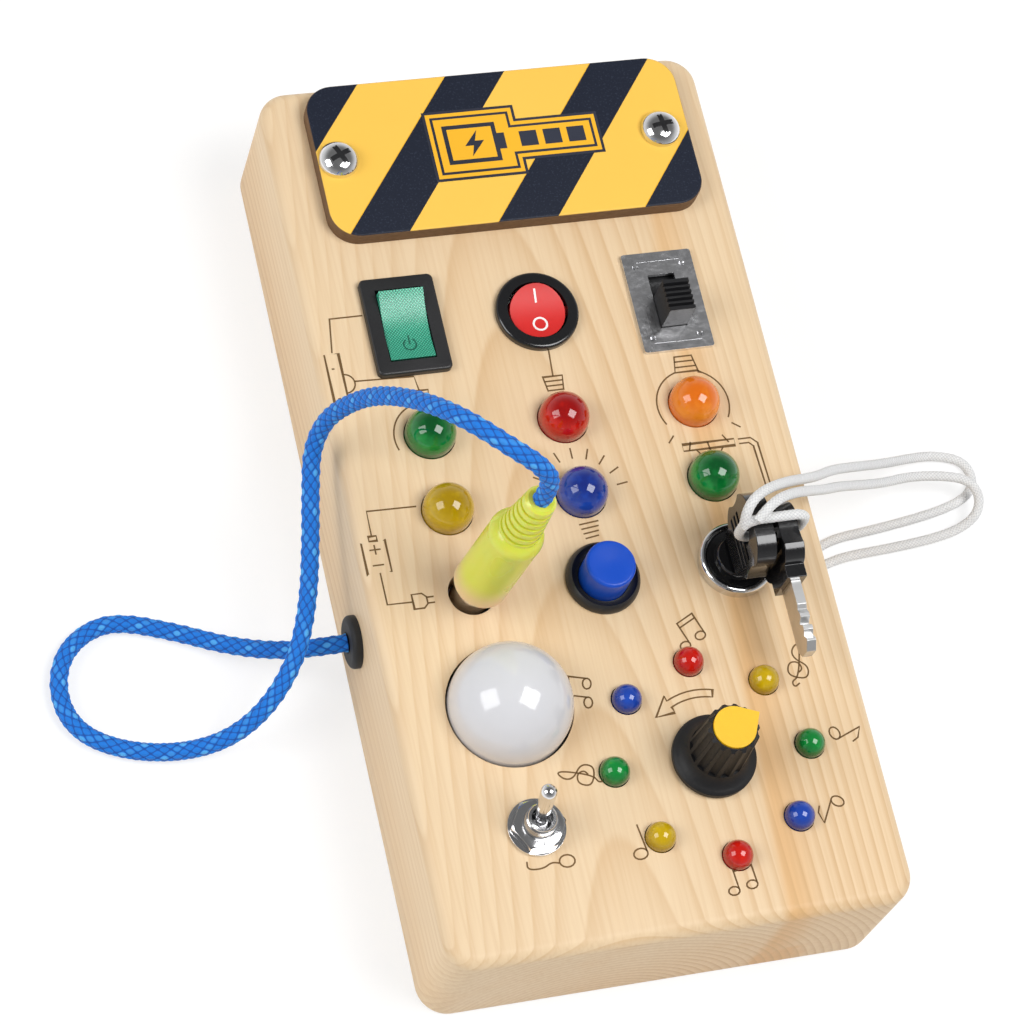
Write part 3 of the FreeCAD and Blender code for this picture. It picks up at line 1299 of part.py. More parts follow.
def switch_terminals():
    """Flat blade terminals under each switch."""
    spots = []
    for dy in (-5.0, 0.0, 5.0):
        spots.append((-COLUMN, SWITCH_ROW + dy, FACE - ROCKER_BODY_D))
    for dy in (-3.0, 3.0):
        spots.append((0.0, SWITCH_ROW + dy, FACE - ROUND_BODY_D))
        spots.append((0.0, PRESS_ROW + dy, FACE - BUTTON_NECK_L))
        spots.append((COLUMN, PRESS_ROW + dy, FACE - LOCK_BODY_D))
    for dy in (-4.5, 0.0, 4.5):
        spots.append((COLUMN, SLIDE_Y + dy, FACE - SLIDE_BASE_D))
        spots.append((TOGGLE_X, TOGGLE_Y + dy, UNDER - TOGGLE_CASE_D))
    for dx in (-4.0, 4.0):
        spots.append((DIAL_X + dx, DIAL_Y, UNDER - ROTARY_CASE_D))
    blades = []
    for x, y, top in spots:
        blade = block(TERMINAL_W, TERMINAL_T, TERMINAL_L, x, y, top - TERMINAL_L)
        hole = Part.makeCylinder(0.6, TERMINAL_T, V(x, y - TERMINAL_T / 2, top - TERMINAL_L + 1.3), Y_AXIS)
        blades.append(blade.cut(hole))
    return Part.makeCompound(blades)


def lanyard_knot():
    """The overhand knot that joins the lanyard's two ends beside the board."""
    x, y, z = UPPER_ROUTE[-1]
    far_x, far_y, far_z = LOWER_ROUTE[-1]
    middle_x = (x + far_x) / 2
    middle_y = min(y, far_y) - KNOT_L / 2 + KNOT_BITE
    knot = Part.makeSphere(1.0)
    matrix = FreeCAD.Matrix()
    matrix.scale(KNOT_R + 0.6, KNOT_L / 2, KNOT_R - 0.4)
    knot = knot.transformGeometry(matrix)
    knot.translate(V(middle_x, middle_y, KNOT_R - 0.3))
    return knot


def add(name, shape):
    """Check a piece and keep it under its node's name."""
    if not shape.isValid():
        print(f"{name}: not valid")
    PARTS[name] = shape


def build_all():
    """Make every piece."""
    add("wooden_body", wooden_body())
    add("back_cover", back_cover())
    add("back_cover_screws", back_cover_screws())
    add("front_plate", front_plate())
    add("plate_screws", plate_screws())
    add("battery_tray", battery_tray())
    add("battery_cells", battery_cells())
    add("battery_contacts", battery_contacts())
    add("rocker_housing", rocker_housing())
    add("green_rocker", green_rocker())
    add("round_housing", round_housing())
    add("red_rocker", red_rocker())
    add("slide_plate", slide_plate())
    add("slide_base", slide_base())
    add("slide_knob", slide_knob())
    add("button_housing", button_housing())
    add("button_cap", button_cap())
    add("button_spring", button_spring())
    add("panel_nuts", panel_nuts())
    add("toggle_case", toggle_case())
    add("toggle_bushing", toggle_bushing())
    add("toggle_lever", toggle_lever())
    add("toggle_washer", toggle_washer())
    add("toggle_nut", toggle_nut())
    add("lock_housing", lock_housing())
    add("lock_barrel", lock_barrel())
    add("key_blade", key_blade_form(COLUMN, PRESS_ROW, BOW_BASE))
    add("key_bow", key_bow_form(COLUMN, PRESS_ROW, BOW_BASE))
    add("spare_key_blade", spare(key_blade_form(0, 0, 0)))
    add("spare_key_bow", spare(key_bow_form(0, 0, 0)))
    add("lanyard_hitch", lanyard_hitch())
    add("lanyard_upper", cord_tube("lanyard_upper", UPPER_ROUTE, LANYARD_R))
    add("lanyard_lower", cord_tube("lanyard_lower", LOWER_ROUTE, LANYARD_R))
    add("lanyard_knot", lanyard_knot())
    add("rotary_case", rotary_case())
    add("rotary_bushing", rotary_bushing())
    add("rotary_shaft", rotary_shaft())
    add("knob_body", knob_body())
    add("knob_cap", knob_cap())
    add("dome_cover", dome_cover())
    add("dome_board", dome_board())
    for name, places in BIG_LAMPS.items():
        lamps = [lamp_form(BIG_LAMP_R, BIG_LAMP_RISE, x, y) for x, y in places]
        add(name, lamps[0] if len(lamps) == 1 else Part.makeCompound(lamps))
    for start, colour in enumerate(RING_COLOURS):
        places = RING_PLACES[start::len(RING_COLOURS)]
        lamps = [lamp_form(SMALL_LAMP_R, SMALL_LAMP_RISE, x, y) for x, y in places]
        add(f"ring_lamps_{colour}", Part.makeCompound(lamps))
    add("lamp_leads", lamp_leads())
    add("lamp_board", lamp_board())
    add("ring_board", ring_board())
    add("switch_terminals", switch_terminals())
    add("socket_sleeve", socket_sleeve())
    add("socket_body", socket_body())
    add("plug_pin", plug_pin())
    add("plug_shell", plug_shell())
    add("cord", cord_tube("cord", CORD_ROUTE + [plug_top()], CORD_R))
    add("grommet", grommet())


def main():
    """Build the board and write one file per piece."""
    os.makedirs("parts", exist_ok=True)
    build_all()
    for name, shape in PARTS.items():
        shape.exportStep(f"parts/{name}.step")
    print(len(PARTS), "pieces")


main()
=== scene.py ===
"""Busy board of pine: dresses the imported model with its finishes, cords, engraving and print.

All sizes are in metres in the row's frame, apart from the drawings, which are in millimetres.
"""
import json
import logging
import math
from dataclasses import dataclass
from enum import Enum
from typing import Callable, Iterable, Optional, Sequence, Union

import bmesh
import bpy
from mathutils import Matrix, Vector
from mathutils.bvhtree import BVHTree


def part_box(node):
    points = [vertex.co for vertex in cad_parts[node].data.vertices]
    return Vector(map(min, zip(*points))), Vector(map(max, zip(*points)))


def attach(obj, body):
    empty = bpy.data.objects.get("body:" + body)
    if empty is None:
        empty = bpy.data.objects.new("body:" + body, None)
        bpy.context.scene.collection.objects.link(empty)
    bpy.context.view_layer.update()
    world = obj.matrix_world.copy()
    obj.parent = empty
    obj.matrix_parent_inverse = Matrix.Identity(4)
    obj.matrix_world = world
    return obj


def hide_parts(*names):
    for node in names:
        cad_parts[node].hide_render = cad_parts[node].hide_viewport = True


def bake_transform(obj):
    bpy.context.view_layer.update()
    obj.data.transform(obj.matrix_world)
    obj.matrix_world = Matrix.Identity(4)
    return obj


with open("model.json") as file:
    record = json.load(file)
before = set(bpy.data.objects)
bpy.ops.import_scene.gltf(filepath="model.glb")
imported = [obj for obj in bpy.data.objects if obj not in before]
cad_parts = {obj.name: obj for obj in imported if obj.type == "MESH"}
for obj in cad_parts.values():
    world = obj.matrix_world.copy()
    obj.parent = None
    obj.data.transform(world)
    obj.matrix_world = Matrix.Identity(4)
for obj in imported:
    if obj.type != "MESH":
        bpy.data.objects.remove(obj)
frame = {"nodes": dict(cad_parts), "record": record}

logging.basicConfig(level=logging.INFO, format="%(message)s")
log = logging.getLogger("busy_board")

MM = 0.001
NODES = frame["nodes"]
BODIES = frame["record"]["behaviour"]["bodies"]
BODY_OF = {node: body for body, members in BODIES.items() for node in members}
SLOT_OF = {part["node"]: part["material_slot"] for part in frame["record"]["subparts"]}
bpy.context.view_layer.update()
FACE_Z = 0.030
SKY = 0.2
FINE_RELIEF = 0.00003

Point = tuple[float, float, float]
Flat = tuple[float, float]
Colour = tuple[float, float, float]


# Shader maths

class Value:
    """A number or colour that varies over a surface."""

    def __init__(self, painter: "Painter", socket: bpy.types.NodeSocket) -> None:
        """Keep the socket that gives the value.

        Args:
            painter: the material that the socket belongs to.
            socket: the output socket.
        """
        self.painter = painter
        self.socket = socket

    def _with(self, operation: str, *others: Union["Value", float]) -> "Value":
        """Add one Math node.

        Args:
            operation: the Math node's operation.
            others: its further values.

        Returns:
            The node's result.
        """
        return self.painter.maths(operation, self, *others)

    def __add__(self, other: Union["Value", float]) -> "Value":
        """Sum."""
        return self._with("ADD", other)

    __radd__ = __add__

    def __sub__(self, other: Union["Value", float]) -> "Value":
        """Difference."""
        return self._with("SUBTRACT", other)

    def __rsub__(self, other: float) -> "Value":
        """Difference from a number."""
        return self.painter.maths("SUBTRACT", other, self)

    def __mul__(self, other: Union["Value", float]) -> "Value":
        """Product."""
        return self._with("MULTIPLY", other)

    __rmul__ = __mul__

    def __truediv__(self, other: Union["Value", float]) -> "Value":
        """Quotient."""
        return self._with("DIVIDE", other)

    def __pow__(self, other: float) -> "Value":
        """Power."""
        return self._with("POWER", other)

    def __abs__(self) -> "Value":
        """Size without sign."""
        return self._with("ABSOLUTE")

    def sine(self) -> "Value":
        """Sine, in radians."""
        return self._with("SINE")

    def root(self) -> "Value":
        """Square root."""
        return self._with("SQRT")

    def fraction(self) -> "Value":
        """What is left above the whole number."""
        return self._with("FRACT")

    def whole(self) -> "Value":
        """The whole number below."""
        return self._with("FLOOR")

    def above(self, limit: float) -> "Value":
        """One above the limit and nought under it."""
        return self._with("GREATER_THAN", limit)

    def below(self, limit: float) -> "Value":
        """One under the limit and nought above it."""
        return self._with("LESS_THAN", limit)

    def least(self, other: Union["Value", float]) -> "Value":
        """The smaller of two."""
        return self._with("MINIMUM", other)

    def most(self, other: Union["Value", float]) -> "Value":
        """The larger of two."""
        return self._with("MAXIMUM", other)

    def ease(self, low: float, high: float) -> "Value":
        """A smooth step from nought at low to one at high."""
        return Value(self.painter, self.painter.node(
            "ShaderNodeMapRange", {"interpolation_type": "SMOOTHSTEP"},
            {"Value": self, "From Min": low, "From Max": high}).outputs["Result"])


class Painter:
    """Builds the nodes of one material."""

    def __init__(self, name: str) -> None:
        """Start an empty material.

        Args:
            name: the material's name.
        """
        self.material = bpy.data.materials.new(name)
        self.material.use_nodes = True
        self.tree = self.material.node_tree
        self.tree.nodes.clear()

    def node(self, kind: str, settings: Optional[dict] = None,
             values: Optional[dict] = None) -> bpy.types.Node:
        """Add a node.

        Args:
            kind: the node's type.
            settings: its own properties, set before its sockets; "stops" fills a colour ramp.
            values: numbers, colours or links for its sockets, by name or index.

        Returns:
            The node.
        """
        made = self.tree.nodes.new(kind)
        for key, value in (settings or {}).items():
            if key == "stops":
                ramp = made.color_ramp
                while len(ramp.elements) < len(value):
                    ramp.elements.new(1.0)
                for element, (place, colour) in zip(ramp.elements, value):
                    element.position = place
                    element.color = (*colour, 1.0)
            else:
                setattr(made, key, value)
        for key, value in (values or {}).items():
            socket = made.inputs[key]
            if isinstance(value, Value):
                self.tree.links.new(value.socket, socket)
            elif isinstance(value, tuple) and socket.type == "RGBA" and len(value) == 3:
                socket.default_value = (*value, 1.0)
            else:
                socket.default_value = value
        return made

    def maths(self, operation: str, *values: Union[Value, float]) -> Value:
        """One Math node on the given values."""
        made = self.node("ShaderNodeMath", {"operation": operation}, dict(enumerate(values)))
        return Value(self, made.outputs[0])

    def mix(self, share: Value, low: Union[Value, Colour], high: Union[Value, Colour]) -> Value:
        """Mix two colours.

        Args:
            share: nought for the first colour and one for the second.
            low: the first colour.
            high: the second colour.

        Returns:
            The mixed colour.
        """
        made = self.node("ShaderNodeMix", {"data_type": "RGBA"}, {0: share, 6: low, 7: high})
        return Value(self, made.outputs[2])

    def place(self) -> tuple[Value, Value, Value]:
        """The surface point's object coordinates, in metres."""
        coordinates = self.node("ShaderNodeTexCoord")
        return self.split(Value(self, coordinates.outputs["Object"]))

    def along(self) -> tuple[Value, Value, Value]:
        """The surface point's own UV map."""
        coordinates = self.node("ShaderNodeTexCoord")
        return self.split(Value(self, coordinates.outputs["UV"]))

    def upward(self) -> Value:
        """How far the surface faces up."""
        geometry = self.node("ShaderNodeNewGeometry")
        return self.split(Value(self, geometry.outputs["True Normal"]))[2]

    def split(self, vector: Value) -> tuple[Value, Value, Value]:
        """The three parts of a vector."""
        made = self.node("ShaderNodeSeparateXYZ", None, {0: vector})
        return tuple(Value(self, output) for output in made.outputs)

    def joined(self, x: Union[Value, float], y: Union[Value, float], z: Union[Value, float]) -> Value:
        """A vector from three parts."""
        return Value(self, self.node("ShaderNodeCombineXYZ", None, {0: x, 1: y, 2: z}).outputs[0])

    def noise(self, scale: float, detail: float = 3.0, stretch: Point = (1.0, 1.0, 1.0)) -> Value:
        """Noise on object coordinates.

        Args:
            scale: bumps in a metre.
            detail: the noise's detail.
            stretch: how much each axis is squeezed.

        Returns:
            A number about one half.
        """
        coordinates = Value(self, self.node("ShaderNodeTexCoord").outputs["Object"])
        mapped = self.node("ShaderNodeMapping", None, {"Vector": coordinates, "Scale": stretch})
        made = self.node("ShaderNodeTexNoise", None, {
            "Vector": Value(self, mapped.outputs[0]), "Scale": scale, "Detail": detail})
        return Value(self, made.outputs[0])

    def relief(self, height: Value, depth: float, strength: float = 1.0) -> Value:
        """A bumped normal.

        Args:
            height: the height from nought to one.
            depth: the real height of one, in metres.
            strength: the share of the bump that shows.

        Returns:
            The normal.
        """
        made = self.node("ShaderNodeBump", None, {"Strength": strength, "Distance": depth, "Height": height})
        return Value(self, made.outputs[0])

    def surface(self, **values: Union[Value, float, Colour]) -> bpy.types.Material:
        """Finish the material with one principled shader.

        Args:
            values: its sockets, with spaces written as underscores.

        Returns:
            The material.
        """
        named = {key.replace("_", " "): value for key, value in values.items()}
        shader = self.node("ShaderNodeBsdfPrincipled", None, named)
        self.node("ShaderNodeOutputMaterial", None, {"Surface": Value(self, shader.outputs[0])})
        return self.material


# Finishes

class Finish:
    """A finish whose material is made once, when it is first used."""

    made: dict = {}

    def material(self) -> bpy.types.Material:
        """The finish's material."""
        if self not in Finish.made:
            Finish.made[self] = self.paint()
        return Finish.made[self]

    def paint(self) -> bpy.types.Material:
        """Build the material."""
        raise NotImplementedError


@dataclass(frozen=True)
class Pine(Finish):
    """Planed softwood: growth rings round a heart below the block, with fibres along Y."""

    name: str
    early: Colour
    late: Colour
    warm: Colour
    heart: Flat = (-0.008, -0.016)
    ring: float = 0.0016
    rough: float = 0.42
    taper: float = 0.06

    def paint(self) -> bpy.types.Material:
        """Build the material."""
        p = Painter(self.name)
        x, y, z = p.place()
        sway = p.noise(11.0, 1.0, (1.0, 0.35, 1.0)) - 0.5
        flow = p.noise(46.0, 2.0, (1.0, 0.16, 1.0)) - 0.5
        across = x - self.heart[0] + 0.0045 * sway - y * 0.03
        depth = z - self.heart[1] + y * self.taper + 0.004 * sway
        radius = (across * across + depth * depth).root()
        count = radius / self.ring + flow * 0.45
        share = count.fraction()
        band = (share ** 2.4) * (1.0 - share.ease(0.88, 1.0))
        uneven = p.noise(14.0, 2.0, (1.0, 0.2, 1.0))
        fibre = p.noise(1500.0, 4.0, (1.0, 0.018, 1.0))
        streak = p.noise(60.0, 3.0, (1.0, 0.035, 1.0)).ease(0.54, 0.70)
        right = x.ease(-0.010, 0.036)
        stripe = (x - y * 0.06).ease(0.0235, 0.0265) * (1.0 - (x - y * 0.06).ease(0.0265, 0.0345))
        warmth = uneven.ease(0.40, 0.7) * 0.30 + streak * (0.15 + 0.5 * right)
        warmth = warmth + stripe * 0.75 * uneven.ease(0.2, 0.5)
        tone = p.mix(warmth.least(1.0), self.early, self.warm)
        strength = band * (0.20 + 0.75 * uneven.ease(0.25, 0.75))
        grained = p.mix(strength, tone, self.late)
        worn = p.mix(fibre.ease(0.35, 0.75) * 0.2, grained, self.late)
        height = band * 0.5 + fibre
        return p.surface(Base_Color=worn, Roughness=self.rough + 0.14 * fibre, Specular_IOR_Level=0.35,
                         Normal=p.relief(height, 0.00006, 0.6))


@dataclass(frozen=True)
class Striped(Finish):
    """Printed slanting stripes on fibreboard with a brown sawn edge."""

    name: str = "striped_print"
    pitch: float = 0.0307
    share: float = 0.407
    slope: float = 0.801
    start: Flat = (-0.0075, 0.0904)

    def paint(self) -> bpy.types.Material:
        """Build the material."""
        p = Painter(self.name)
        x, y, _ = p.place()
        run = (x - self.start[0] - (y - self.start[1]) * self.slope) / self.pitch
        inside = (run.fraction() - self.share / 2)
        away = abs(inside) - self.share / 2
        dark = 1.0 - away.ease(-0.002, 0.002)
        line = away.ease(0.006, 0.010) * (1.0 - away.ease(0.022, 0.026))
        wrapped = (0.988 - run.fraction()).ease(-0.01, -0.002)
        fleck = p.noise(2600.0, 2.0).ease(0.57, 0.68)
        ink = p.mix(fleck * 0.5, (0.008, 0.012, 0.026), (0.035, 0.045, 0.075))
        paint = p.mix(p.noise(40.0, 2.0), (0.89, 0.45, 0.010), (0.93, 0.50, 0.022))
        lined = p.mix(line.most(wrapped) * 0.5, paint, (0.96, 0.66, 0.16))
        printed = p.mix(dark, lined, ink)
        fibre = p.noise(900.0, 4.0, (1.0, 1.0, 3.0))
        edge = p.mix(fibre, (0.10, 0.052, 0.026), (0.23, 0.135, 0.07))
        face = p.upward().ease(0.55, 0.8)
        return p.surface(Base_Color=p.mix(face, edge, printed), Roughness=0.66 - 0.16 * face,
                         Specular_IOR_Level=0.3,
                         Normal=p.relief(p.noise(1800.0, 3.0), FINE_RELIEF, 0.5))


@dataclass(frozen=True)
class Moulded(Finish):
    """Moulded plastic or rubber with a fine skin."""

    name: str
    colour: Colour
    rough: float = 0.35
    grain: float = 2200.0
    depth: float = 0.00002
    coat: float = 0.0
    subsurface: float = 0.0
    fade: float = 0.35
    gloss: float = 0.5

    def paint(self) -> bpy.types.Material:
        """Build the material."""
        p = Painter(self.name)
        cloud = p.noise(60.0, 2.0)
        fine = p.noise(self.grain, 3.0)
        pale = tuple(min(1.0, c * (1 + self.fade) + 0.01 * self.fade) for c in self.colour)
        tint = p.mix(cloud.ease(0.35, 0.7) * 0.5 + fine * 0.3, self.colour, pale)
        return p.surface(Base_Color=tint, Roughness=self.rough + 0.12 * fine, Coat_Weight=self.coat,
                         Specular_IOR_Level=self.gloss, Coat_Roughness=0.06,
                         Subsurface_Weight=self.subsurface, Subsurface_Scale=0.002,
                         Normal=p.relief(fine, self.depth, 0.7))


@dataclass(frozen=True)
class Metal(Finish):
    """Plated or plain metal with fine wear, and thread lines where it has a pitch."""

    name: str
    colour: Colour
    rough: float = 0.12
    lines: Point = (1.0, 1.0, 1.0)
    thread: float = 0.0
    wave: float = 0.0
    bite: float = 0.3

    def paint(self) -> bpy.types.Material:
        """Build the material."""
        p = Painter(self.name)
        cloud = p.noise(140.0, 3.0)
        scratch = p.noise(2400.0, 3.0, self.lines)
        worn = tuple(c * 0.8 for c in self.colour)
        tint = p.mix(cloud.ease(0.4, 0.7) * 0.6 + scratch * 0.2, self.colour, worn)
        height = scratch * 0.1
        if self.thread:
            _, _, z = p.place()
            height = height + abs((z / self.thread).fraction() - 0.5) * 2.0
        if self.wave:
            height = height + p.noise(330.0, 2.0)
        depth = self.thread * self.bite or self.wave or FINE_RELIEF
        return p.surface(Base_Color=tint, Metallic=1.0, Roughness=self.rough + 0.14 * scratch * cloud,
                         Normal=p.relief(height, depth, 0.8))


@dataclass(frozen=True)
class Tinted(Finish):
    """A clear coloured lamp with painted light in a band halfway up its dome and painted shade that deepens
    it towards the rim.
    """

    name: str
    # deep is the lamp's colour away from the painted band and the painted shade at its rim; bright is the
    # colour of the painted light.
    deep: Colour
    bright: Colour
    low: float = 0.0302
    high: float = 0.0364

    def paint(self) -> bpy.types.Material:
        """Build the material."""
        p = Painter(self.name)
        _, _, z = p.place()
        rise = z.ease(self.low, self.high)
        swirl = p.noise(420.0, 2.0)
        # Painted light: brightest halfway between low and high, with random swirls of tone on top.
        painted_light_and_swirl = rise * (1.0 - rise) * 2.2 + swirl.ease(0.45, 0.75) * 0.3
        facing = Value(p, p.node("ShaderNodeLayerWeight", None, {"Blend": 0.35}).outputs["Facing"])
        # Painted shade: the colour deepens towards the rim, where the surface turns from the camera.
        tint = p.mix(painted_light_and_swirl * (1.0 - facing * 0.6), self.deep, self.bright)
        return p.surface(Base_Color=tint, Roughness=0.07 + 0.03 * swirl, Coat_Weight=1.0,
                         Coat_Roughness=0.02, Specular_IOR_Level=0.15)


@dataclass(frozen=True)
class LitRocker(Finish):
    """Clear green plastic over a lattice of small raised squares, with a painted highlight over its upper
    part.
    """

    name: str = "lit_green"
    pitch: float = 0.00062
    # bright is the colour of the lattice's squares and of the painted highlight.
    deep: Colour = (0.004, 0.135, 0.085)
    bright: Colour = (0.10, 0.66, 0.42)

    def paint(self) -> bpy.types.Material:
        """Build the material."""
        p = Painter(self.name)
        x, y, _ = p.place()
        turn = 2 * math.pi / self.pitch
        square = (x * turn).sine() * (y * turn).sine()
        dots = square.ease(-0.2, 0.5)
        # Painted highlight: the rocker is painted lighter above y = 37.2 mm.
        band = (y - 0.0372).ease(-0.006, 0.006)
        # glow mixes the lattice, the painted highlight and random tone; the rocker gives no light of its own.
        glow = dots * (0.5 + 0.4 * band) + p.noise(160.0, 2.0) * 0.25
        return p.surface(Base_Color=p.mix(glow, self.deep, self.bright), Roughness=0.3 + 0.06 * dots,
                         Coat_Weight=0.35, Coat_Roughness=0.22, Normal=p.relief(dots, 0.00006, 0.5))


@dataclass(frozen=True)
class ClearShell(Finish):
    """The plug's soft clear shell, pinker where the metal core shows through."""

    name: str = "clear_yellow"
    low: float = 0.034

    def paint(self) -> bpy.types.Material:
        """Build the material."""
        p = Painter(self.name)
        _, _, z = p.place()
        rise = z.ease(self.low, self.low + 0.009)
        swirl = p.noise(110.0, 2.0, (1.0, 1.0, 0.4))
        body = p.mix(swirl, (0.60, 0.66, 0.022), (0.78, 0.80, 0.11))
        foot = p.mix(swirl, (0.76, 0.52, 0.30), (0.88, 0.66, 0.40))
        return p.surface(Base_Color=p.mix(rise, foot, body), Roughness=0.24 + 0.08 * swirl,
                         Subsurface_Weight=0.35, Subsurface_Scale=0.004, Coat_Weight=0.35,
                         Coat_Roughness=0.1)


@dataclass(frozen=True)
class Braided(Finish):
    """Braided thread on a cord's own map: X counts the strands round it and Y along it; painted shade fills
    the grooves between threads and painted highlight flecks lie on the crowns of every few strands.
    """

    name: str
    # shade is the painted shade in the grooves between threads, main the thread's colour and fleck the colour
    # of the painted highlight.
    shade: Colour
    main: Colour
    fleck: Colour
    every: int = 4

    def paint(self) -> bpy.types.Material:
        """Build the material."""
        p = Painter(self.name)
        u, v, _ = p.along()
        left = u + v
        right = u - v
        bump = abs((left * math.pi).sine() * (right * math.pi).sine())
        one = ((left.whole() / self.every).fraction()).below(0.5 / self.every)
        two = ((right.whole() / self.every).fraction()).below(0.5 / self.every)
        thread = Value(p, p.node("ShaderNodeTexNoise", None, {
            "Vector": p.joined(left * 9.0, right * 9.0, 0.0), "Scale": 1.0, "Detail": 2.0}).outputs[0])
        # Painted shade: the grooves between threads take the shade colour.
        shaded_threads = p.mix(bump.ease(0.0, 0.36) * (0.75 + 0.5 * thread), self.shade, self.main)
        # Painted highlight: lighter flecks on the crowns of every few strands.
        fleck_highlight = (one * two).most(one * 0.35) * bump.ease(0.2, 0.7) * 0.6
        return p.surface(Base_Color=p.mix(fleck_highlight, shaded_threads, self.fleck), Roughness=0.72 + 0.1 * thread,
                         Sheen_Weight=0.1, Sheen_Roughness=0.4,
                         Normal=p.relief(bump * 0.7 + thread * 0.3, 0.00016, 0.8))


@dataclass(frozen=True)
class Circuit(Finish):
    """Green lacquered board with faint copper lines under the lacquer."""

    name: str = "circuit_lacquer"

    def paint(self) -> bpy.types.Material:
        """Build the material."""
        p = Painter(self.name)
        x, y, _ = p.place()
        across = abs((x * 400.0).fraction() - 0.5).below(0.14)
        track = across.most(abs((y * 250.0).fraction() - 0.5).below(0.08))
        patch = p.noise(120.0, 1.0).above(0.5)
        tint = p.mix(track * patch, (0.012, 0.11, 0.045), (0.05, 0.22, 0.08))
        return p.surface(Base_Color=tint, Roughness=0.3 + 0.1 * p.noise(800.0, 2.0), Coat_Weight=0.4,
                         Normal=p.relief(track * patch, FINE_RELIEF, 0.8))


class Finishes(Enum):
    """The finishes on this board."""

    PINE = Pine("pine", (0.81, 0.62, 0.40), (0.57, 0.33, 0.135), (0.74, 0.44, 0.19))
    PLY = Pine("birch_ply", (0.66, 0.47, 0.28), (0.50, 0.31, 0.16), (0.58, 0.39, 0.22),
               (0.02, -0.4), 0.0016, 0.55)
    STRIPED = Striped()
    BURNT = Moulded("burnt_line", (0.14, 0.075, 0.024), 0.8, 3000.0)
    INK = Moulded("dark_print", (0.010, 0.013, 0.026), 0.45, 2600.0, fade=0.9)
    YELLOW_INK = Moulded("yellow_print", (0.89, 0.46, 0.012), 0.5, 1800.0, fade=0.06)
    WHITE_INK = Moulded("white_print", (0.86, 0.84, 0.82), 0.4, 2000.0, fade=0.1)
    GREEN_INK = Moulded("green_print", (0.003, 0.09, 0.055), 0.4, 2000.0)
    STEEL = Metal("zinc_steel", (0.60, 0.60, 0.61), 0.28)
    CHROME = Metal("chrome", (0.82, 0.82, 0.83), 0.07)
    NICKEL = Metal("nickel", (0.72, 0.72, 0.72), 0.30, (0.2, 1.0, 1.0))
    STAMPED = Metal("stamped_chrome", (0.80, 0.80, 0.82), 0.22, (1.0, 0.15, 1.0), wave=0.0003)
    THREAD = Metal("threaded_chrome", (0.78, 0.78, 0.79), 0.12, (1.0, 1.0, 1.0), 0.0006)
    BRASS = Metal("brass", (0.72, 0.52, 0.22), 0.25)
    BLACK = Moulded("black_moulding", (0.010, 0.010, 0.011), 0.34, 2400.0, fade=0.8)
    SATIN_BLACK = Moulded("satin_black", (0.008, 0.008, 0.009), 0.42, 1500.0, 0.00004, fade=0.8, gloss=0.3)
    GLOSS_BLACK = Moulded("gloss_black", (0.006, 0.006, 0.007), 0.13, 1800.0, 0.00001, 0.5)
    RUBBER = Moulded("black_rubber", (0.012, 0.012, 0.012), 0.6, 1400.0, 0.00005, fade=0.8)
    RED = Moulded("red_rocker", (0.58, 0.012, 0.010), 0.42, 1500.0, 0.00001, 0.0, 0.05, 0.3)
    BLUE = Moulded("blue_cap", (0.004, 0.072, 0.54), 0.3, 1600.0, 0.00001, 0.05, 0.0, 0.2, 0.35)
    YELLOW = Moulded("yellow_cap", (0.86, 0.50, 0.014), 0.3, 1600.0, 0.00001, 0.2, 0.15, 0.15)
    OPAL = Moulded("opal_white", (0.67, 0.67, 0.695), 0.07, 500.0, 0.000002, 0.4, 0.0, 0.04)
    WRAP = Moulded("cell_wrap", (0.10, 0.12, 0.17), 0.2, 900.0, 0.00001, 0.4)
    # Lamps: the first colour also carries the painted shade at the rim, the second the painted light in the
    # middle band.
    LAMP_GREEN = Tinted("green_lamp", (0.0, 0.075, 0.014), (0.010, 0.36, 0.06))
    LAMP_RED = Tinted("red_lamp", (0.30, 0.002, 0.002), (0.74, 0.016, 0.006))
    LAMP_ORANGE = Tinted("orange_lamp", (0.72, 0.15, 0.006), (0.95, 0.33, 0.03))
    LAMP_YELLOW = Tinted("yellow_lamp", (0.36, 0.22, 0.001), (0.72, 0.49, 0.006))
    LAMP_BLUE = Tinted("blue_lamp", (0.008, 0.022, 0.20), (0.018, 0.09, 0.55))
    LIT_GREEN = LitRocker()
    PLUG = ClearShell()
    # Braids: the shade colour is painted shade in the grooves, the last colour a painted highlight on thread
    # crowns.
    BLUE_BRAID = Braided("blue_braid", (0.001, 0.07, 0.36), (0.002, 0.185, 0.70), (0.12, 0.52, 0.92), 3)
    WHITE_BRAID = Braided("white_braid", (0.64, 0.64, 0.65), (0.84, 0.84, 0.835), (0.93, 0.93, 0.93))
    CIRCUIT = Circuit()


# Making and placing pieces

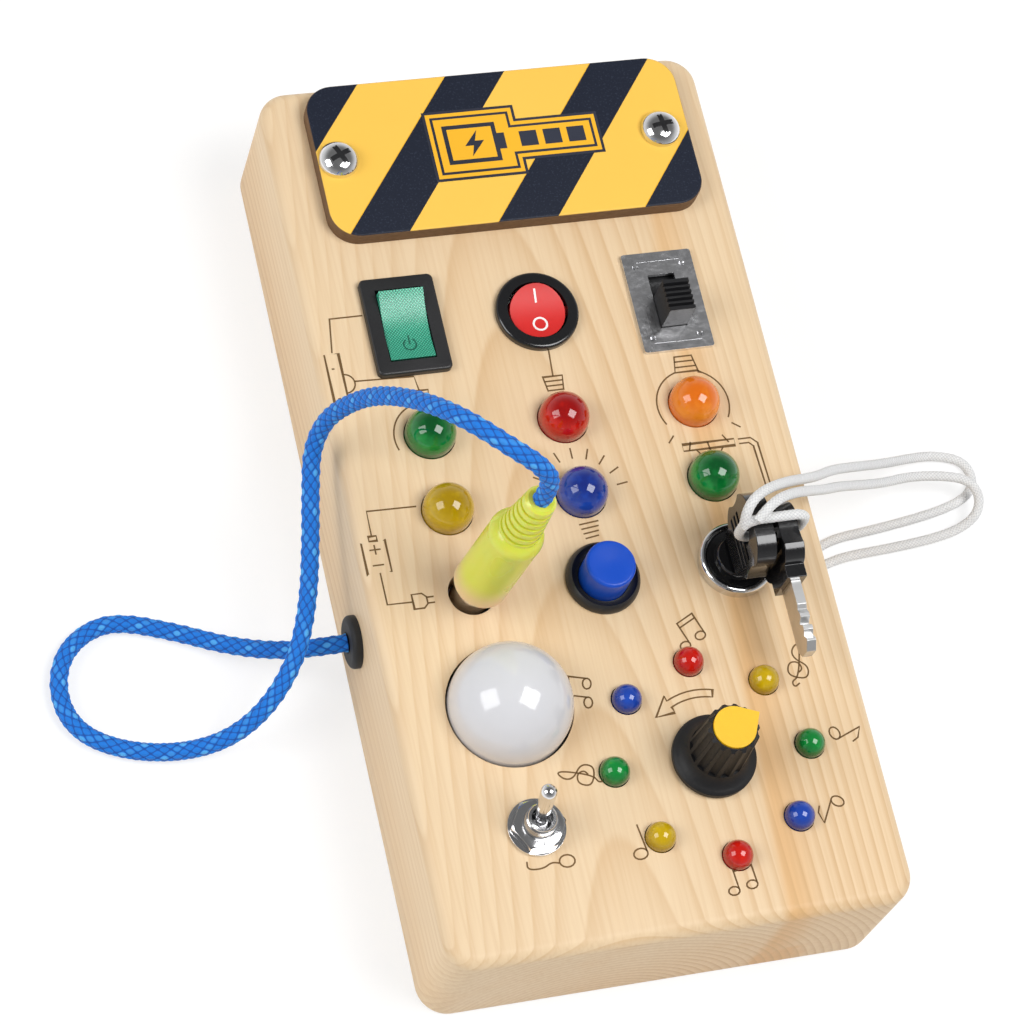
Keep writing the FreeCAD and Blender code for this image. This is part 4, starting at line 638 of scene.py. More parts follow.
@dataclass
class Workshop:
    """Turns bmeshes and CAD nodes into finished pieces that ride on the right body."""

    merge: float = 1e-6

    def finished(self, name: str, mesh: bpy.types.Mesh, finish: Finishes, body: str,
                 slot: str) -> bpy.types.Object:
        """Make a mesh a piece of the board.

        Args:
            name: the piece's name.
            mesh: its mesh, already in place.
            finish: its finish.
            body: the body that it rides on, or an empty string for a piece that rides on no body.
            slot: the record's material slot; not used.

        Returns:
            The piece.
        """
        piece = bpy.data.objects.new(name, mesh)
        bpy.context.scene.collection.objects.link(piece)
        mesh.materials.clear()
        mesh.materials.append(finish.value.material())
        if body:
            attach(piece, body)
        log.info("%s: %d faces", name, len(mesh.polygons))
        return piece

    def written(self, name: str, shape: bmesh.types.BMesh, smooth: float = 40.0) -> bpy.types.Mesh:
        """Write a bmesh to a mesh with smooth shading under an angle.

        Args:
            name: the mesh's name.
            shape: the bmesh, which is freed.
            smooth: faces that meet at less than this many degrees are shaded as one.

        Returns:
            The mesh.
        """
        for face in shape.faces:
            face.smooth = True
        limit = math.radians(smooth)
        for edge in shape.edges:
            if len(edge.link_faces) == 2:
                edge.smooth = edge.calc_face_angle(0.0) < limit
        mesh = bpy.data.meshes.new(name)
        shape.to_mesh(mesh)
        shape.free()
        return mesh

    def skin(self, node: str, finish: Finishes, bevel: float = 0.0, smooth: float = 30.0) -> bpy.types.Object:
        """Replace a CAD node by its own shape, merged, shaded smooth and softened at its edges.

        Args:
            node: the node's name.
            finish: the finish.
            bevel: the width of the softened edges.
            smooth: the angle under which faces are shaded as one.

        Returns:
            The piece.
        """
        shape = bmesh.new()
        shape.from_mesh(NODES[node].data)
        bmesh.ops.remove_doubles(shape, verts=shape.verts, dist=self.merge)
        mesh = self.written(f"{node}_skin", shape, smooth)
        piece = self.finished(f"{node}_skin", mesh, finish, BODY_OF[node], SLOT_OF[node])
        if bevel:
            soft = piece.modifiers.new("soft_edges", "BEVEL")
            soft.width = bevel
            soft.segments = 2
            soft.limit_method = "ANGLE"
            soft.angle_limit = math.radians(smooth)
            soft.harden_normals = True
            soft.use_clamp_overlap = True
        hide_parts(node)
        return piece

    def paint(self, finish: Finishes, *nodes: str) -> None:
        """Give CAD nodes a finish as they are."""
        for node in nodes:
            data = NODES[node].data
            data.materials.clear()
            data.materials.append(finish.value.material())
            log.info("%s: painted", node)


@dataclass
class Drawing:
    """Flat lines and shapes that lie on a surface, drawn in millimetres."""

    shop: Workshop
    thick: float = 0.00003

    def ground(self, nodes: Iterable[str]) -> Callable[[float, float], float]:
        """The height of some nodes' upper side over any place.

        Args:
            nodes: the nodes that carry the drawing.

        Returns:
            A function of x and y, in metres.
        """
        trees = []
        for node in nodes:
            data = NODES[node].data
            places = [vertex.co[:] for vertex in data.vertices]
            trees.append(BVHTree.FromPolygons(places, [tuple(face.vertices) for face in data.polygons]))

        def height(x: float, y: float) -> float:
            """The highest hit straight below a place."""
            found = [tree.ray_cast(Vector((x, y, SKY)), Vector((0, 0, -1)))[0] for tree in trees]
            hits = [hit.z for hit in found if hit is not None]
            return max(hits) if hits else FACE_Z
        return height

    def lines(self, name: str, strokes: Sequence[Sequence[Flat]], width: float, finish: Finishes, body: str,
              slot: str, on: Sequence[str]) -> bpy.types.Object:
        """Draw strokes of one width.

        Args:
            name: the piece's name.
            strokes: each stroke's points, in millimetres.
            width: the line's width, in millimetres.
            finish: its finish.
            body: the body that it rides on.
            slot: the record's material slot.
            on: the nodes that it lies on.

        Returns:
            The piece.
        """
        height = self.ground(on)
        shape = bmesh.new()
        for stroke in strokes:
            self._ribbon(shape, [Vector((x * MM, y * MM, 0)) for x, y in stroke], width * MM / 2)
        for vertex in shape.verts:
            vertex.co.z = height(vertex.co.x, vertex.co.y)
        return self._raised(name, shape, finish, body, slot)

    def _ribbon(self, shape: bmesh.types.BMesh, spine: list[Vector], half: float) -> None:
        """Add one stroke by extruding a short edge along it.

        Args:
            shape: the bmesh to add to.
            spine: the stroke's middle line.
            half: half of its width.
        """
        closed = (spine[0] - spine[-1]).length < 1e-7
        count = len(spine)
        edge = None
        for i, here in enumerate(spine):
            before = spine[i - 1] if i else (spine[-2] if closed else here)
            after = spine[i + 1] if i < count - 1 else (spine[1] if closed else here)
            way = (after - before).normalized()
            side = Vector((-way.y, way.x, 0))
            inward = (here - before).normalized() if (here - before).length > 0 else way
            spread = half / max(0.5, abs(inward.dot(way)))
            if edge is None:
                ends = [shape.verts.new(here - side * spread), shape.verts.new(here + side * spread)]
                edge = shape.edges.new(ends)
            else:
                made = bmesh.ops.extrude_edge_only(shape, edges=[edge])["geom"]
                ends = [v for v in made if isinstance(v, bmesh.types.BMVert)]
                edge = next(e for e in made if isinstance(e, bmesh.types.BMEdge))
                near = sorted(ends, key=lambda v: (v.co - (here - side * spread)).length
                              - (v.co - (here + side * spread)).length)
                near[0].co = here - side * spread
                near[1].co = here + side * spread

    def _raised(self, name: str, shape: bmesh.types.BMesh, finish: Finishes, body: str,
                slot: str) -> bpy.types.Object:
        """Give a flat drawing its small thickness and finish it.

        Args:
            name: the piece's name.
            shape: the flat bmesh at its ground's height.
            finish: its finish.
            body: the body that it rides on.
            slot: the record's material slot.

        Returns:
            The piece.
        """
        bmesh.ops.recalc_face_normals(shape, faces=shape.faces)
        low = [face for face in shape.faces if face.normal.z < 0]
        bmesh.ops.reverse_faces(shape, faces=low)
        made = bmesh.ops.extrude_face_region(shape, geom=list(shape.faces), use_keep_orig=True)["geom"]
        top = [v for v in made if isinstance(v, bmesh.types.BMVert)]
        bmesh.ops.translate(shape, verts=top, vec=(0, 0, self.thick))
        raised = set(top)
        under = [v for v in shape.verts if v not in raised]
        bmesh.ops.translate(shape, verts=under, vec=(0, 0, -self.thick))
        bmesh.ops.recalc_face_normals(shape, faces=shape.faces)
        return self.shop.finished(name, self.shop.written(name, shape, 30.0), finish, body, slot)

    def shapes(self, name: str, outlines: Sequence[Sequence[Flat]], finish: Finishes, body: str, slot: str,
               on: Sequence[str], lift: float = 0.0) -> bpy.types.Object:
        """Fill closed outlines.

        Args:
            name: the piece's name.
            outlines: each outline's corners, in millimetres, anticlockwise.
            finish: its finish.
            body: the body that it rides on.
            slot: the record's material slot.
            on: the nodes that it lies on.
            lift: how far above them, in metres.

        Returns:
            The piece.
        """
        height = self.ground(on)
        shape = bmesh.new()
        for outline in outlines:
            corners = [shape.verts.new((x * MM, y * MM, 0)) for x, y in outline]
            shape.faces.new(corners)
        for vertex in shape.verts:
            vertex.co.z = height(vertex.co.x, vertex.co.y) + lift
        return self._raised(name, shape, finish, body, slot)


def arc(centre: Flat, radius: float, start: float, end: float, steps: int = 20,
        squash: float = 1.0) -> list[Flat]:
    """Points on an arc.

    Args:
        centre: its centre.
        radius: its radius.
        start: its first angle, in degrees.
        end: its last angle.
        steps: the number of steps.
        squash: the height's share of the width.

    Returns:
        The points.
    """
    points = []
    for i in range(steps + 1):
        turn = math.radians(start + (end - start) * i / steps)
        points.append((centre[0] + radius * math.cos(turn), centre[1] + squash * radius * math.sin(turn)))
    return points


def turned(points: Sequence[Flat], place: Flat, degrees: float, size: float = 1.0) -> list[Flat]:
    """Turn, scale and move a drawing's points."""
    c, s = math.cos(math.radians(degrees)), math.sin(math.radians(degrees))
    return [(place[0] + size * (x * c - y * s), place[1] + size * (x * s + y * c)) for x, y in points]


def flowing(points: Sequence[Flat], times: int = 3) -> list[Flat]:
    """Cut an open line's corners until it flows.

    Args:
        points: the line's corners.
        times: how often its corners are cut.

    Returns:
        The flowing line.
    """
    line = list(points)
    for _ in range(times):
        cut = [line[0]]
        for (ax, ay), (bx, by) in zip(line, line[1:]):
            cut.append((0.75 * ax + 0.25 * bx, 0.75 * ay + 0.25 * by))
            cut.append((0.25 * ax + 0.75 * bx, 0.25 * ay + 0.75 * by))
        line = [*cut, line[-1]]
    return line


def ring(points: Sequence[Flat]) -> list[Flat]:
    """Close an outline."""
    return [*points, points[0]]


# Cords

@dataclass
class Rope:
    """A braided cord laid on the smooth line of its route."""

    name: str
    route: Sequence[Point]
    radius: float
    strands: int
    step: float
    sides: int
    relief: float = 0.06
    stretch: float = 1.0
    swelling: float = 1.6

    def line(self) -> list[Vector]:
        """Points on the route's smooth line."""
        curve = bpy.data.curves.new(f"{self.name}_line", "CURVE")
        curve.dimensions = "3D"
        curve.resolution_u = 12
        spline = curve.splines.new("NURBS")
        spline.points.add(len(self.route) - 1)
        for point, (x, y, z) in zip(spline.points, self.route):
            point.co = (x * MM, y * MM, z * MM, 1.0)
        spline.order_u = 3
        spline.use_endpoint_u = True
        holder = bpy.data.objects.new(f"{self.name}_line", curve)
        bpy.context.scene.collection.objects.link(holder)
        mesh = bpy.data.meshes.new_from_object(holder)
        points = [vertex.co.copy() for vertex in mesh.vertices]
        bpy.data.objects.remove(holder)
        bpy.data.meshes.remove(mesh)
        bpy.data.curves.remove(curve)
        return points

    def even(self, points: Sequence[Vector], closed: bool = False) -> list[Vector]:
        """Points along the same line at even steps.

        Args:
            points: the line.
            closed: whether it runs back to its start.

        Returns:
            The evenly spaced points.
        """
        run = [*points, points[0]] if closed else list(points)
        lengths = [0.0]
        for a, b in zip(run, run[1:]):
            lengths.append(lengths[-1] + (b - a).length)
        count = max(8, round(lengths[-1] / self.step))
        spaced = []
        at = 0
        for i in range(count if closed else count + 1):
            want = lengths[-1] * i / count
            while at < len(run) - 2 and lengths[at + 1] < want:
                at += 1
            span = lengths[at + 1] - lengths[at]
            spaced.append(run[at].lerp(run[at + 1], (want - lengths[at]) / span if span else 0.0))
        return spaced

    def tube(self, path: Sequence[Vector], offset: float = 0.0, closed: bool = False) -> bmesh.types.BMesh:
        """Extrude a ring along a path, with the braid's relief and its map.

        Args:
            path: evenly spaced points.
            offset: the length of cord before the path's start.
            closed: whether the path runs back to its start.

        Returns:
            The tube.
        """
        shape = bmesh.new()
        column = shape.verts.layers.int.new("column")
        row = shape.verts.layers.int.new("row")
        bmesh.ops.create_circle(shape, cap_ends=False, segments=self.sides, radius=self.radius)
        shape.verts.ensure_lookup_table()
        for i, vertex in enumerate(shape.verts):
            vertex[column] = i
        pitch = 2 * math.pi * self.radius / self.strands * self.stretch
        edges = list(shape.edges)
        first = list(edges)
        count = len(path)
        side = None
        for i, here in enumerate(path):
            before = path[i - 1] if i or closed else here
            after = path[(i + 1) % count] if i < count - 1 or closed else here
            way = (after - before).normalized()
            if side is None:
                side = way.orthogonal().normalized()
            side = (side - way * side.dot(way)).normalized()
            other = way.cross(side)
            if i:
                made = bmesh.ops.extrude_edge_only(shape, edges=edges)["geom"]
                edges = [e for e in made if isinstance(e, bmesh.types.BMEdge)]
                ring_verts = [v for v in made if isinstance(v, bmesh.types.BMVert)]
            else:
                ring_verts = list(shape.verts)
            along = (offset + self.step * i) / pitch
            for vertex in ring_verts:
                vertex[row] = i
                turn = vertex[column] / self.sides
                a = math.pi * (turn * self.strands + along)
                b = math.pi * (turn * self.strands - along)
                swell = abs(math.sin(a) * math.sin(b))
                reach = self.radius * (1.0 - self.relief + self.swelling * self.relief * swell)
                angle = 2 * math.pi * turn
                vertex.co = here + reach * (math.cos(angle) * side + math.sin(angle) * other)
        if closed:
            bmesh.ops.bridge_loops(shape, edges=first + edges)
        else:
            bmesh.ops.holes_fill(shape, edges=first, sides=0)
            bmesh.ops.holes_fill(shape, edges=edges, sides=0)
        bmesh.ops.recalc_face_normals(shape, faces=shape.faces)
        chart = shape.loops.layers.uv.new("UVMap")
        for face in shape.faces:
            columns = [loop.vert[column] for loop in face.loops]
            seam = max(columns) - min(columns) > self.sides / 2
            for loop in face.loops:
                place = loop.vert[column]
                if seam and place < self.sides / 2:
                    place += self.sides
                across = place / self.sides * self.strands
                loop[chart].uv = (across, (offset + self.step * loop.vert[row]) / pitch)
        return shape


def length_of(path: Sequence[Vector]) -> float:
    """The length of a line."""
    return sum((b - a).length for a, b in zip(path, path[1:]))


@dataclass
class BlueCord:
    """The braided cord from the left wall's grommet to the plug."""

    shop: Workshop
    route: Sequence[Point] = (
        (-47.9, -20.4, 14.2), (-54.4, -20.3, 13.4), (-61.4, -17.9, 8.6), (-69.0, -13.6, 3.6),
        (-77.6, -9.0, 1.9), (-88.4, -5.2, 1.9), (-94.9, -6.4, 1.9), (-100.0, -10.5, 1.9),
        (-102.3, -16.6, 1.9), (-101.7, -23.2, 1.9), (-97.8, -28.5, 1.9), (-89.6, -32.3, 1.9),
        (-79.7, -33.7, 2.3), (-71.4, -33.2, 6.0), (-64.6, -30.0, 12.0), (-58.9, -23.4, 18.0),
        (-55.4, -14.0, 21.4), (-53.4, -3.8, 24.8), (-52.0, 6.6, 29.0), (-51.2, 12.4, 33.0),
        (-49.2, 15.2, 39.6), (-46.6, 13.8, 49.0), (-44.0, 9.6, 61.0), (-41.0, 2.6, 73.2),
        (-38.3, -4.3, 82.4), (-34.9, -10.2, 87.5), (-29.8, -15.7, 88.4), (-23.9, -18.7, 85.0),
        (-20.6, -19.5, 78.6), (-21.28, -19.5, 71.77))
    radius: float = 0.00175

    def build(self) -> None:
        rope = Rope("blue_cord", self.route, self.radius, 6, 0.0004, 40, 0.09, 1.4)
        path = rope.even(rope.line())
        mesh = self.shop.written("blue_cord", rope.tube(path), 60.0)
        cord = self.shop.finished("blue_cord", mesh, Finishes.BLUE_BRAID, "", SLOT_OF["cord"])
        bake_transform(cord)
        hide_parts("cord")
        2 * self.radius


@dataclass
class Lanyard:
    """The white cord through both keys, with two strands that meet in a knot beside the block."""

    shop: Workshop
    upper: Sequence[Point] = (
        (23.4, -20.9, 49.5), (23.2, -19.6, 52.6), (25.2, -17.2, 54.0), (29.0, -15.0, 52.6),
        (34.6, -12.6, 48.6), (40.0, -9.8, 42.0), (46.2, -6.6, 34.6), (52.9, -2.5, 27.0),
        (62.2, 1.4, 17.5), (71.6, 5.0, 8.4), (81.0, 8.0, 2.2), (86.0, 8.4, 1.1), (91.6, 6.8, 1.1),
        (93.4, 3.4, 1.1), (92.5, -0.2, 1.1), (89.2, -2.5, 1.1), (84.0, -4.0, 1.1), (78.3, -5.0, 1.1),
        (71.7, -5.9, 1.1), (65.4, -6.6, 1.1), (59.5, -7.2, 1.1), (53.9, -9.6, 1.3), (49.4, -14.0, 1.9),
        (48.9, -18.0, 2.5))
    lower: Sequence[Point] = (
        (25.4, -21.2, 52.4), (27.0, -19.8, 54.0), (30.4, -17.6, 53.4), (35.4, -15.4, 49.6),
        (41.0, -12.8, 43.0), (47.4, -9.4, 34.2), (54.0, -5.4, 25.0), (62.0, -2.4, 16.8),
        (70.4, 0.4, 9.4), (77.4, 2.4, 6.1), (84.2, 1.9, 5.9), (90.1, 0.4, 5.7), (92.0, -2.9, 5.2),
        (91.1, -6.6, 4.2), (87.8, -8.7, 2.6), (82.4, -9.8, 1.3), (73.5, -10.6, 1.1),
        (66.3, -11.0, 1.1), (60.6, -11.4, 1.1), (55.4, -12.8, 1.3), (53.0, -14.9, 1.8),
        (52.2, -18.0, 2.5))
    radius: float = 0.001
    hand: float = 0.034
    rest: float = 0.078

    def rope(self, name: str, route: Sequence[Point]) -> Rope:
        """A rope of the lanyard's own braid."""
        return Rope(name, route, self.radius, 8, 0.0003, 24)

    def strand(self, name: str, node: str, route: Sequence[Point]) -> None:
        """Lay one strand in two stretches: a near one, hand long, and a far one with the rest.

        Args:
            name: the strand's name.
            node: the CAD node that it stands for.
            route: the route's points, in millimetres.
        """
        rope = self.rope(name, route)
        path = rope.even(rope.line())
        cut = round(self.hand / rope.step)
        away = round(self.rest / rope.step)
        near, far = path[:cut + 1], path[cut:]
        for part, line, offset in (("near", near, 0.0), ("far", far, cut * rope.step)):
            mesh = self.shop.written(f"{name}_{part}", rope.tube(line, offset), 60.0)
            cord = self.shop.finished(f"{name}_{part}", mesh, Finishes.WHITE_BRAID, "", SLOT_OF[node])
            last = part == "far"
            if last:
                tuple(line[0])
                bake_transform(cord)
            else:
                tuple(line[0])
                tuple(line[-1])
                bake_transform(cord)
                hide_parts(node)
            tuple(line[0])
            length_of(line)
            2 * self.radius
            [tuple(p) for p in line]

    def looped(self, name: str, node: str, points: Sequence[Vector]) -> bpy.types.Object:
        """Lay a closed stretch of cord in the place of a CAD node.

        Args:
            name: the piece's name.
            node: the CAD node that it replaces.
            points: its closed line.

        Returns:
            The piece.
        """
        rope = self.rope(name, ())
        mesh = self.shop.written(name, rope.tube(rope.even(points, True), 0.0, True), 60.0)
        piece = self.shop.finished(name, mesh, Finishes.WHITE_BRAID, BODY_OF[node], SLOT_OF[node])
        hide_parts(node)
        return piece

    def knot(self) -> bpy.types.Object:
        """The tied ends beside the block, as a rounded three-lobed knot."""
        low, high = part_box("lanyard_knot")
        middle = (Vector(low) + Vector(high)) / 2
        reach = [(b - a) / 2 - self.radius for a, b in zip(low, high)]
        points = []
        steps = 240
        for i in range(steps):
            t = 2 * math.pi * i / steps
            x = (math.sin(t) + 2 * math.sin(2 * t)) / 2.8
            y = (math.cos(t) - 2 * math.cos(2 * t)) / 3.0
            points.append(middle + Vector((x * reach[0], y * reach[1], -math.sin(3 * t) * reach[2])))
        return self.looped("lanyard_tie", "lanyard_knot", points)

    def hitch(self) -> None:
        """The loop through the holes of both bows."""
        low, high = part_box("lanyard_hitch")
        left, right = low[0] + self.radius, high[0] - self.radius
        under, over = low[2] + self.radius, high[2] - self.radius
        middle = (low[1] + high[1]) / 2
        corner = 0.003
        points = []
        for cx, cz, start in ((right, over, 0), (left, over, 90), (left, under, 180), (right, under, 270)):
            x = cx - math.copysign(corner, cx - (left + right) / 2)
            z = cz - math.copysign(corner, cz - (under + over) / 2)
            for a, b in arc((x, z), corner, start, start + 90, 10):
                points.append(Vector((a, middle, b)))
        self.looped("lanyard_loop", "lanyard_hitch", points)

    def build(self) -> None:
        """Lay both strands, the loop and the knot."""
        self.hitch()
        knot = self.knot()
        self.strand("lanyard_high", "lanyard_upper", self.upper)
        self.strand("lanyard_low", "lanyard_lower", self.lower)


# The block and what is on it

@dataclass
class Block:
    """The pine block, its plywood back and the burnt drawings on its face."""

    shop: Workshop
    drawing: Drawing
    line: float = 0.31

    def circuit_lines(self) -> list[list[Flat]]:
        """Wires, bulbs, a cell and a plug round the upper lamps."""
        wires = [
            [(-34.8, 40.7), (-41.4, 40.7), (-42.4, 33.4)],
            ring([(-44.0, 33.2), (-41.2, 33.2), (-41.2, 20.6), (-44.0, 20.6)]),
            [(-44.0, 30.0), (-42.6, 30.0)], [(-44.0, 23.6), (-42.6, 23.6)],
            arc((-41.2, 26.6), 2.0, -90, 90, 12),
            [(-39.2, 26.9), (-27.4, 26.5), (-27.0, 23.4)],
            ring([(-28.8, 23.4), (-25.2, 23.4), (-25.6, 21.2), (-28.4, 21.2)]),
            [(-28.6, 22.3), (-25.4, 22.3)],
            [(-28.4, 21.2), *arc((-27.0, 13.8), 7.0, 115, 200, 12)],
            [(-25.6, 21.2), *arc((-27.0, 13.8), 7.0, 65, 10, 10)],
            [(0.6, 28.8), (0.2, 23.2)],
            ring([(-1.9, 23.2), (2.1, 23.2), (1.7, 20.2), (-1.5, 20.2)]),
            [(-1.8, 22.2), (2.0, 22.2)], [(-1.7, 21.2), (1.9, 21.2)],
            ring([(25.6, 24.3), (29.2, 24.3), (29.8, 20.9), (25.0, 20.9)]),
            [(25.4, 23.2), (29.4, 23.2)], [(25.2, 22.0), (29.6, 22.0)],
            [(25.0, 20.9), *arc((27.0, 13.8), 7.4, 108, 210, 14)],
            [(29.8, 20.9), *arc((27.0, 13.8), 7.4, 68, -30, 14)],
            ring([(22.6, 5.4), (33.4, 5.4), (33.4, 4.0), (22.6, 4.0)]),
            [(25.2, 4.0), (26.0, 2.9)], [(30.8, 4.0), (30.0, 2.9)],
            [(34.2, 5.2), (36.8, 5.2), (38.0, 4.0), (38.4, -6.2)],
            [(34.2, 4.2), (36.2, 4.2), (37.0, 3.4), (37.4, -6.0)],
            [(-32.8, -0.6), (-42.6, -0.4), (-42.7, -5.6)],
            ring([(-44.9, -6.6), (-40.3, -6.6), (-40.3, -13.2), (-44.9, -13.2)]),
            ring([(-43.4, -5.6), (-41.8, -5.6), (-41.8, -6.6), (-43.4, -6.6)]),
            [(-43.7, -8.4), (-41.5, -8.4)], [(-42.6, -7.4), (-42.6, -9.4)], [(-43.7, -11.6), (-41.5, -11.6)],
            [(-42.6, -13.2), (-42.6, -19.8), (-37.6, -19.9)],
            ring([(-37.6, -18.4), (-35.6, -18.4), (-34.8, -19.2), (-34.8, -20.6), (-35.6, -21.4),
                  (-37.6, -21.4)]),
            [(-34.8, -19.3), (-33.4, -19.3)], [(-34.8, -20.5), (-33.4, -20.5)],
        ]
        for i in range(9):
            wires.append(turned([(7.6, 0), (9.9, 0)], (0.0, -2.3), 8 + 20.5 * i))
        for degrees in (228, 252, 276, 300, 324):
            wires.append(turned([(8.4, 0), (10.4, 0)], (27.0, 13.8), degrees))
        for i in range(4):
            wires.append([(-1.9 + 0.2 * i, -8.6 - 1.0 * i), (2.1 - 0.2 * i, -8.2 - 1.0 * i)])
        return wires

    def note_lines(self) -> list[list[Flat]]:
        """Simple notes outside the ring of small lamps, and the turning arrow."""
        quaver = [arc((0, 0), 1.3, 0, 360, 14, 0.75), [(1.25, 0.1), (1.25, 5.2), (2.9, 3.6), (3.1, 2.2)]]
        crotchet = [arc((0, 0), 1.4, 0, 360, 14, 0.75), [(1.35, 0.1), (1.35, 5.6)]]
        pair = [arc((0, 0), 1.1, 0, 360, 12, 0.75), arc((3.8, 0.4), 1.1, 0, 360, 12, 0.75),
                [(1.05, 0.1), (1.05, 4.6), (4.85, 5.0), (4.85, 0.5)], [(1.05, 3.6), (4.85, 4.0)]]
        clef = [flowing([(0.4, -2.4), (-0.6, -3.3), (-1.2, -2.2), (0.2, -1.2), (0.9, 4.0), (0.6, 6.0),
                         (-0.8, 4.4), (-0.4, 2.6), (2.4, 1.2), (2.2, -1.2), (0.2, -1.4), (-1.9, -0.6),
                         (-1.5, 1.8), (0.4, 2.0), (1.2, 0.6), (0.4, -0.2)])]
        placed = [(pair, (13.0, -36.0), 20), (clef, (33.6, -44.2), -10), (quaver, (37.8, -57.6), -70),
                  (quaver, (34.8, -71.0), 150), (pair, (10.4, -85.2), 5), (crotchet, (-5.6, -75.4), 8),
                  (clef, (-12.2, -59.0), 80), (pair, (-8.6, -44.6), 75)]
        strokes = []
        for icon, place, degrees in placed:
            strokes += [turned(stroke, place, degrees) for stroke in icon]
        dial = (12.7, -59.0)
        strokes.append([*arc(dial, 12.4, 76, 116, 12), *turned([(11.2, 0)], dial, 117),
                        *turned([(13.1, 0)], dial, 133), *turned([(15.0, 0)], dial, 115),
                        *turned([(13.9, 0)], dial, 116), *arc(dial, 13.9, 114, 76, 12),
                        *turned([(12.4, 0)], dial, 76)])
        strokes.append(arc((-19.8, -74.6), 1.5, 0, 360, 14, 0.8))
        tail = [(-27.4, -73.6), (-27.6, -75.2), (-24.6, -75.4), (-22.8, -74.4), (-21.3, -74.8)]
        strokes.append(flowing(tail))
        return strokes

    def build(self) -> None:
        """Dress the block and burn its drawings."""
        self.shop.skin("wooden_body", Finishes.PINE)
        self.shop.skin("back_cover", Finishes.PLY, 0.0002)
        self.shop.skin("back_cover_screws", Finishes.STEEL)
        on = ["wooden_body"]
        slot = SLOT_OF["wooden_body"]
        self.drawing.lines("burnt_wiring", self.circuit_lines(), self.line, Finishes.BURNT, "board", slot, on)
        self.drawing.lines("burnt_notes", self.note_lines(), self.line, Finishes.BURNT, "board", slot, on)


@dataclass
class Plate:
    """The striped plate with its printed cell sign, its screws, and the bay under it."""

    shop: Workshop
    drawing: Drawing
    sign: Flat = (-4.6, 74.2)
    bar_reach: float = 0.55
    bar_width: float = 0.26

    def sign_outline(self, grow: float) -> list[Flat]:
        """The sign's stepped outline, grown by a margin in millimetres."""
        g = grow
        corners = [(-8.5 - g, -6.4 - g), (7.6 + g, -6.4 - g), (7.6 + g, -3.2 - g), (24.5 + g, -3.2 - g),
                   (24.5 + g, 3.2 + g), (7.6 + g, 3.2 + g), (7.6 + g, 6.4 + g), (-8.5 - g, 6.4 + g)]
        return turned(corners, self.sign, 0)

    def recess_shade(self) -> None:
        """A dark cross drawn on each of the plate's screws as painted shade for its cross recess."""
        low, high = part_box("plate_screws")
        head = (high[1] - low[1]) / 2 / MM
        middle = (high[1] + low[1]) / 2 / MM
        bar = [(head * (0.11 * i - self.bar_reach), 0.0) for i in range(11)]
        strokes = []
        for x, start in ((low[0] / MM + head, 24), (high[0] / MM - head, 8)):
            strokes += [turned(bar, (x, middle), start + degrees) for degrees in (0, 90)]
        # Painted shade: a satin black cross stands in for the shade inside each screw's recess.
        self.drawing.lines("screw_recess_shade", strokes, head * self.bar_width, Finishes.SATIN_BLACK, "board",
                           SLOT_OF["plate_screws"], ["plate_screws"])

    def build(self) -> None:
        """Dress the plate and print its sign."""
        self.shop.skin("front_plate", Finishes.STRIPED)
        self.shop.skin("plate_screws", Finishes.CHROME, 0.00008)
        self.shop.paint(Finishes.BLACK, "battery_tray")
        self.shop.paint(Finishes.WRAP, "battery_cells")
        self.shop.paint(Finishes.STEEL, "battery_contacts")
        self.recess_shade()
        on = ["front_plate"]
        slot = SLOT_OF["front_plate"]
        dark, light = Finishes.INK, Finishes.YELLOW_INK
        self.drawing.shapes("sign_border", [self.sign_outline(1.5)], dark, "board", slot, on)
        self.drawing.shapes("sign_rim", [self.sign_outline(0.9)], light, "board", slot, on, 0.00003)
        self.drawing.shapes("sign_field", [self.sign_outline(0.1)], dark, "board", slot, on, 0.00006)
        self.drawing.shapes("sign_ground", [self.sign_outline(-0.45)], light, "board", slot, on, 0.00009)
        cell = [[(-6.6, -4.4), (4.4, -4.4), (4.4, 4.4), (-6.6, 4.4)],
                [(4.4, -1.8), (5.9, -1.8), (5.9, 1.8), (4.4, 1.8)]]
        inner = [[(-5.7, -3.5), (3.5, -3.5), (3.5, 3.5), (-5.7, 3.5)]]
        bolt = [[(-1.5, -2.9), (1.5, 0.5), (-0.4, 0.5), (0.4, 2.9), (-2.6, -0.5), (-0.8, -0.5)]]
        bars = [[(9.0 + 5.0 * i, -1.7), (12.6 + 5.0 * i, -1.7), (12.6 + 5.0 * i, 1.7), (9.0 + 5.0 * i, 1.7)]
                for i in range(3)]
        for name, parts, finish, lift in (("sign_cell", cell + bars, dark, 0.00012),
                                          ("sign_cell_face", inner, light, 0.00015),
                                          ("sign_bolt", bolt, dark, 0.00018)):
            placed = [turned(part, self.sign, 0) for part in parts]
            self.drawing.shapes(name, placed, finish, "board", slot, on, lift)


